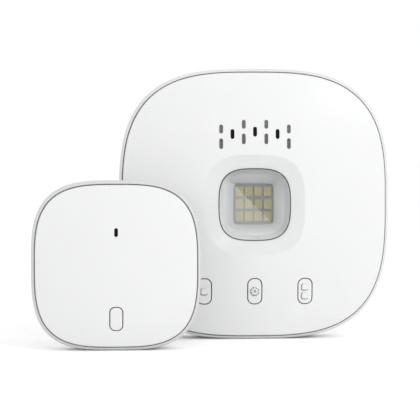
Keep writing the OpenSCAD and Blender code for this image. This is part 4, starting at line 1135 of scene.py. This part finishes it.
def woven(name, low, high):
    """Fine mesh cloth: two crossed sets of threads."""
    material, tree, principled = shader(name, 0.9)
    place = place_on(tree)
    waves = []
    for way in ("X", "Z"):
        inputs = {"Vector": place, "Scale": THREAD_SCALE}
        waves.append(node(tree, "ShaderNodeTexWave", inputs, bands_direction=way).outputs["Fac"])
    both = calc(tree, "MULTIPLY", *waves)
    fill(tree, principled, {"Base Color": ramp(tree, both, low, high, 0.1, 0.8)})
    bump(tree, principled, both, 0.4, 0.0001)
    return material


def mix_shaders(tree, share, first, second, output):
    """Links a mix of two shaders to an output: the second one where the share is 1."""
    mix = node(tree, "ShaderNodeMixShader", {0: share, 1: first, 2: second})
    fill(tree, first_node(tree, output), {"Surface": mix.outputs["Shader"]})


def clear_pane(name):
    """Clear plastic that lets the lamps through to the tray behind it."""
    material, tree, principled = shader(name, 0.015)
    fill(tree, principled, {"Base Color": (0.97, 0.98, 0.98, 1), "Transmission Weight": 1.0, "IOR": 1.49})
    shadow = node(tree, "ShaderNodeLightPath").outputs["Is Shadow Ray"]
    open_way = node(tree, "ShaderNodeBsdfTransparent", {"Color": (0.96, 0.97, 0.97, 1)})
    mix_shaders(tree, shadow, principled.outputs["BSDF"], open_way.outputs["BSDF"], "OUTPUT_MATERIAL")
    return material


def phosphor(name):
    """Yellow field with fine grains."""
    material, tree, principled = shader(name, 0.6)
    grains = noise(tree, GRAIN_SCALE)
    yellow = ramp(tree, grains, (0.295, 0.262, 0.132), (0.376, 0.334, 0.168), 0.35, 0.65)
    fill(tree, principled, {"Base Color": yellow})
    bump(tree, principled, grains, 0.25, 0.00004)
    return material


SHELL_LOOK = (0.36, 0.985)
HOUSING_LOOK = (0.34, 0.97)
SHELL_WHITE = (0.90, 0.905, 0.905)

# The way each material is made, and what that function takes after the name
LOOKS = {
    "shell_white": (moulded, SHELL_WHITE, *SHELL_LOOK),
    "housing_grey": (moulded, (0.82, 0.825, 0.825), *HOUSING_LOOK),
    "button_white": (moulded, (0.89, 0.895, 0.895), *SHELL_LOOK),
    "lens_clear": (clear_pane,),
    # painted shade: the tray's grey gets darker towards the LEDs
    "reflector_grey": (tray_painted_shade, (0.46, 0.465, 0.465), (0.70, 0.705, 0.705)),
    "screw_steel": (metal, (0.56, 0.57, 0.58), 0.32),
    "led_board_grey": (moulded, (0.215, 0.22, 0.225), 0.5, 0.8, 3000, 0.3),
    "led_yellow": (phosphor,),
    "sink_aluminium": (metal, (0.78, 0.79, 0.80), 0.36),
    "board_green": (circuit, (0.012, 0.10, 0.045), (0.03, 0.2, 0.09)),
    "module_blue": (circuit, (0.012, 0.03, 0.11), (0.03, 0.07, 0.2)),
    "shield_steel": (metal, (0.66, 0.67, 0.68), 0.28),
    "chip_black": (moulded, (0.03, 0.03, 0.032), 0.55, 0.7, 3200, 0.3),
    "capacitor_blue": (moulded, (0.02, 0.03, 0.10), 0.3, 0.8),
    "wire_brass": (metal, (0.76, 0.58, 0.28), 0.25),
    "mesh_grey": (woven, (0.15, 0.15, 0.15), (0.45, 0.45, 0.45)),
    "pipe_black": (moulded, (0.004, 0.004, 0.0045), 0.5, 0.6, 1500, 0.03, 0.12),
    "led_white": (moulded, (0.8, 0.8, 0.74), 0.5, 0.9),
    "bracket_grey": (moulded, (0.55, 0.56, 0.57), 0.5, 0.94, 1500, 0.25),
    "cell_steel": (metal, (0.72, 0.72, 0.72), 0.22),
    "cap_grey": (moulded, (0.36, 0.365, 0.37), 0.5, 0.92, 1500, 0.25),
    "pad_foam": (moulded, (0.07, 0.07, 0.072), 0.95, 0.6, 900, 0.8),
}
MATERIALS = {name: make(name, *values) for name, (make, *values) in LOOKS.items()}
# The hub's plastic, with painted shade on the sunk bezel round the window
HUB_WHITE = paint_bezel_shade(moulded("hub_shell_white", SHELL_WHITE, *SHELL_LOOK), shade=0.94)
# Painted shade: the door sensor's housing is the hub's housing plastic made a shade darker
DOOR_SHADED_GREY = moulded("door_housing_grey", (0.74, 0.745, 0.745), *HOUSING_LOOK)

for part in frame["record"]["subparts"]:
    mesh = CAD[part["node"]].data
    mesh.materials.clear()
    mesh.materials.append(MATERIALS[part["material_slot"]])


# Pieces


def dress(piece, body, slot_name, *nodes, finish=None):
    """Gives a new piece its finish and the body that it moves with, and hides the solids that it stands
    for.
    """
    piece.data.materials.clear()
    piece.data.materials.append(finish or MATERIALS[slot_name])
    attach(piece, body)
    if nodes:
        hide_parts(*nodes)


def dress_button(name, case, shape, guide, body, solid, signs=()):
    """A button in place of its solid, with a stem that ends where the solid ends."""
    stem_end = (case.origin.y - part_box(solid)[1].y) / MM
    dress(button(name, case, shape, guide, stem_end, signs), body, "button_white", solid)


dress(hub_cover(), "hub", "shell_white", "hub_front_cover", finish=HUB_WHITE)
dress(hub_housing(), "hub", "housing_grey", "hub_back_housing")
dress(window_lens(), "hub", "lens_clear", "hub_window_lens")
# A dark ring of painted shade in the gap round the lens
dress(window_gap_shade(), "hub", "pad_foam")
dress(reflector(), "hub", "reflector_grey", "hub_reflector")
dress(led_packages(), "hub", "led_yellow", "hub_leds")
dress(sensor_cover(), "sensor", "shell_white", "sensor_front_cover")
dress(sensor_housing(), "sensor", "housing_grey", "sensor_back_housing", finish=DOOR_SHADED_GREY)

for name, shape, signs in (
    ("left", LEFT_BUTTON, square_signs(LEFT_BUTTON, 0)),
    ("settings", SETTINGS_BUTTON, gear_signs(SETTINGS_BUTTON)),
    ("right", RIGHT_BUTTON, square_signs(RIGHT_BUTTON, TWO_SIGNS, -TWO_SIGNS)),
):
    body, solid = f"{name}_button", f"hub_{name}_button"
    dress_button(f"{name}_push_button", HUB, shape, HUB_GUIDE, body, solid, signs)
dress_button("door_push_button", SENSOR, SENSOR_BUTTON, SENSOR_GUIDE, "sensor_push_button", "sensor_button")

for solid, name, width, body, slot_name in (
    ("wall_bracket", "bracket_plate", 0.4, "bracket", "bracket_grey"),
    ("sensor_mount_plate", "door_plate", 0.4, "sensor_mount", "bracket_grey"),
    ("sensor_adhesive_pad", "door_pad", 0.25, "sensor_mount", "pad_foam"),
    ("sensor_battery_cap", "cell_cap", 0.2, "battery_cap", "cap_grey"),
    ("hub_case_screws", "case_screws", 0.25, "hub", "screw_steel"),
    ("sensor_case_screws", "door_case_screws", 0.25, "sensor", "screw_steel"),
    ("hub_power_socket", "socket_shell", 0.1, "hub", "shield_steel"),
):
    dress(softened(solid, name, width), body, slot_name, solid)


# Stage: places are in metres, and angles in degrees

FLOOR_HALF = 6
FLOOR_WHITE = (0.88, 0.88, 0.88, 1)
FLOOR_SEEN = (1.27, 1.27, 1.27, 1)
SKY = 0.79
GLOW_Y = -0.45
GLOW_LEVEL = 2.85
EYE = Vector((-0.05405, -0.97098, 0.11888))
LENS_LENGTH = 148.73
TILT = 2.613
TURN = 3.057
AIM = (0.02, 0, 0.08)


def shown(tree, lit, white, output):
    """Lit for the light on the object, white where a ray shows the background."""
    rays = node(tree, "ShaderNodeLightPath").outputs
    seen = calc(tree, "MAXIMUM", rays["Is Camera Ray"], rays["Is Glossy Ray"])
    seen = calc(tree, "MAXIMUM", seen, rays["Is Transmission Ray"])
    mix_shaders(tree, seen, lit, white, output)


def floor():
    r = FLOOR_HALF
    mesh = bpy.data.meshes.new("floor")
    mesh.from_pydata([(-r, -r, 0), (r, -r, 0), (r, r, 0), (-r, r, 0)], [], [(0, 1, 2, 3)])
    material, tree, principled = shader("floor_white", 0.5)
    fill(tree, principled, {"Base Color": FLOOR_WHITE})
    seen = node(tree, "ShaderNodeBsdfDiffuse", {"Color": FLOOR_SEEN})
    shown(tree, principled.outputs["BSDF"], seen.outputs["BSDF"], "OUTPUT_MATERIAL")
    mesh.materials.append(material)
    show("floor", mesh)


def sky():
    world = bpy.data.worlds.new("studio")
    bpy.context.scene.world = world
    world.use_nodes = True
    tree = world.node_tree
    light = first_node(tree, "BACKGROUND")
    fill(tree, light, {"Color": (1, 1, 1, 1), "Strength": SKY})
    white = node(tree, "ShaderNodeBackground", {"Color": (1, 1, 1, 1), "Strength": 1.0})
    shown(tree, light.outputs["Background"], white.outputs["Background"], "OUTPUT_WORLD")


def lamp(name, place, aim, size, power):
    data = bpy.data.lights.new(name, "AREA")
    data.shape = "DISK"
    data.size = size
    data.energy = power
    obj = show(name, data)
    obj.location = place
    obj.rotation_euler = (Vector(aim) - Vector(place)).to_track_quat("-Z", "Y").to_euler()


def glow(eye):
    """A lit triangle. From the eye, its reflection lies over the lower left half of the LEDs."""
    pane = HUB.place((0, 0, BEZEL_FLOOR + LENS_PROUD)).y
    mirrored = Vector((eye.x, 2 * pane - eye.y, eye.z))
    corners = []
    for x, y in ((-1, 1), (1, -1), (-1, -1)):
        led = HUB.place((x * FIELD_HALF, y * FIELD_HALF, LED_LEVEL))
        seen = eye.lerp(led, (pane - eye.y) / (led.y - eye.y))
        corners.append(mirrored.lerp(seen, (GLOW_Y - mirrored.y) / (pane - mirrored.y)))
    mesh = bpy.data.meshes.new("window_glow")
    mesh.from_pydata(corners, [], [(0, 1, 2)])
    material, tree = blank("window_glow")
    light = node(tree, "ShaderNodeEmission", {"Strength": GLOW_LEVEL})
    fill(tree, first_node(tree, "OUTPUT_MATERIAL"), {"Surface": light.outputs["Emission"]})
    mesh.materials.append(material)
    obj = show("window_glow", mesh)
    obj.visible_camera = False
    obj.visible_diffuse = False
    obj.visible_shadow = False


floor()
sky()
lamp("key", (0.27, -0.50, 0.33), AIM, size=0.08, power=0.55)
lamp("side", (0.85, -0.35, 0.40), AIM, size=0.2, power=0.7)
lamp("fill", (-0.9, -1.3, 0.45), (0, 0, 0.07), size=0.8, power=1.8)
glow(EYE)

camera_data = bpy.data.cameras.new("camera")
camera_data.lens = LENS_LENGTH
camera_data.clip_start = 0.05
camera = show("camera", camera_data)
camera.location = EYE
camera.rotation_euler = (math.radians(90 - TILT), 0, math.radians(-TURN))
bpy.context.scene.camera = camera
bpy.context.scene.view_settings.view_transform = "Standard"

bpy.context.view_layer.update()
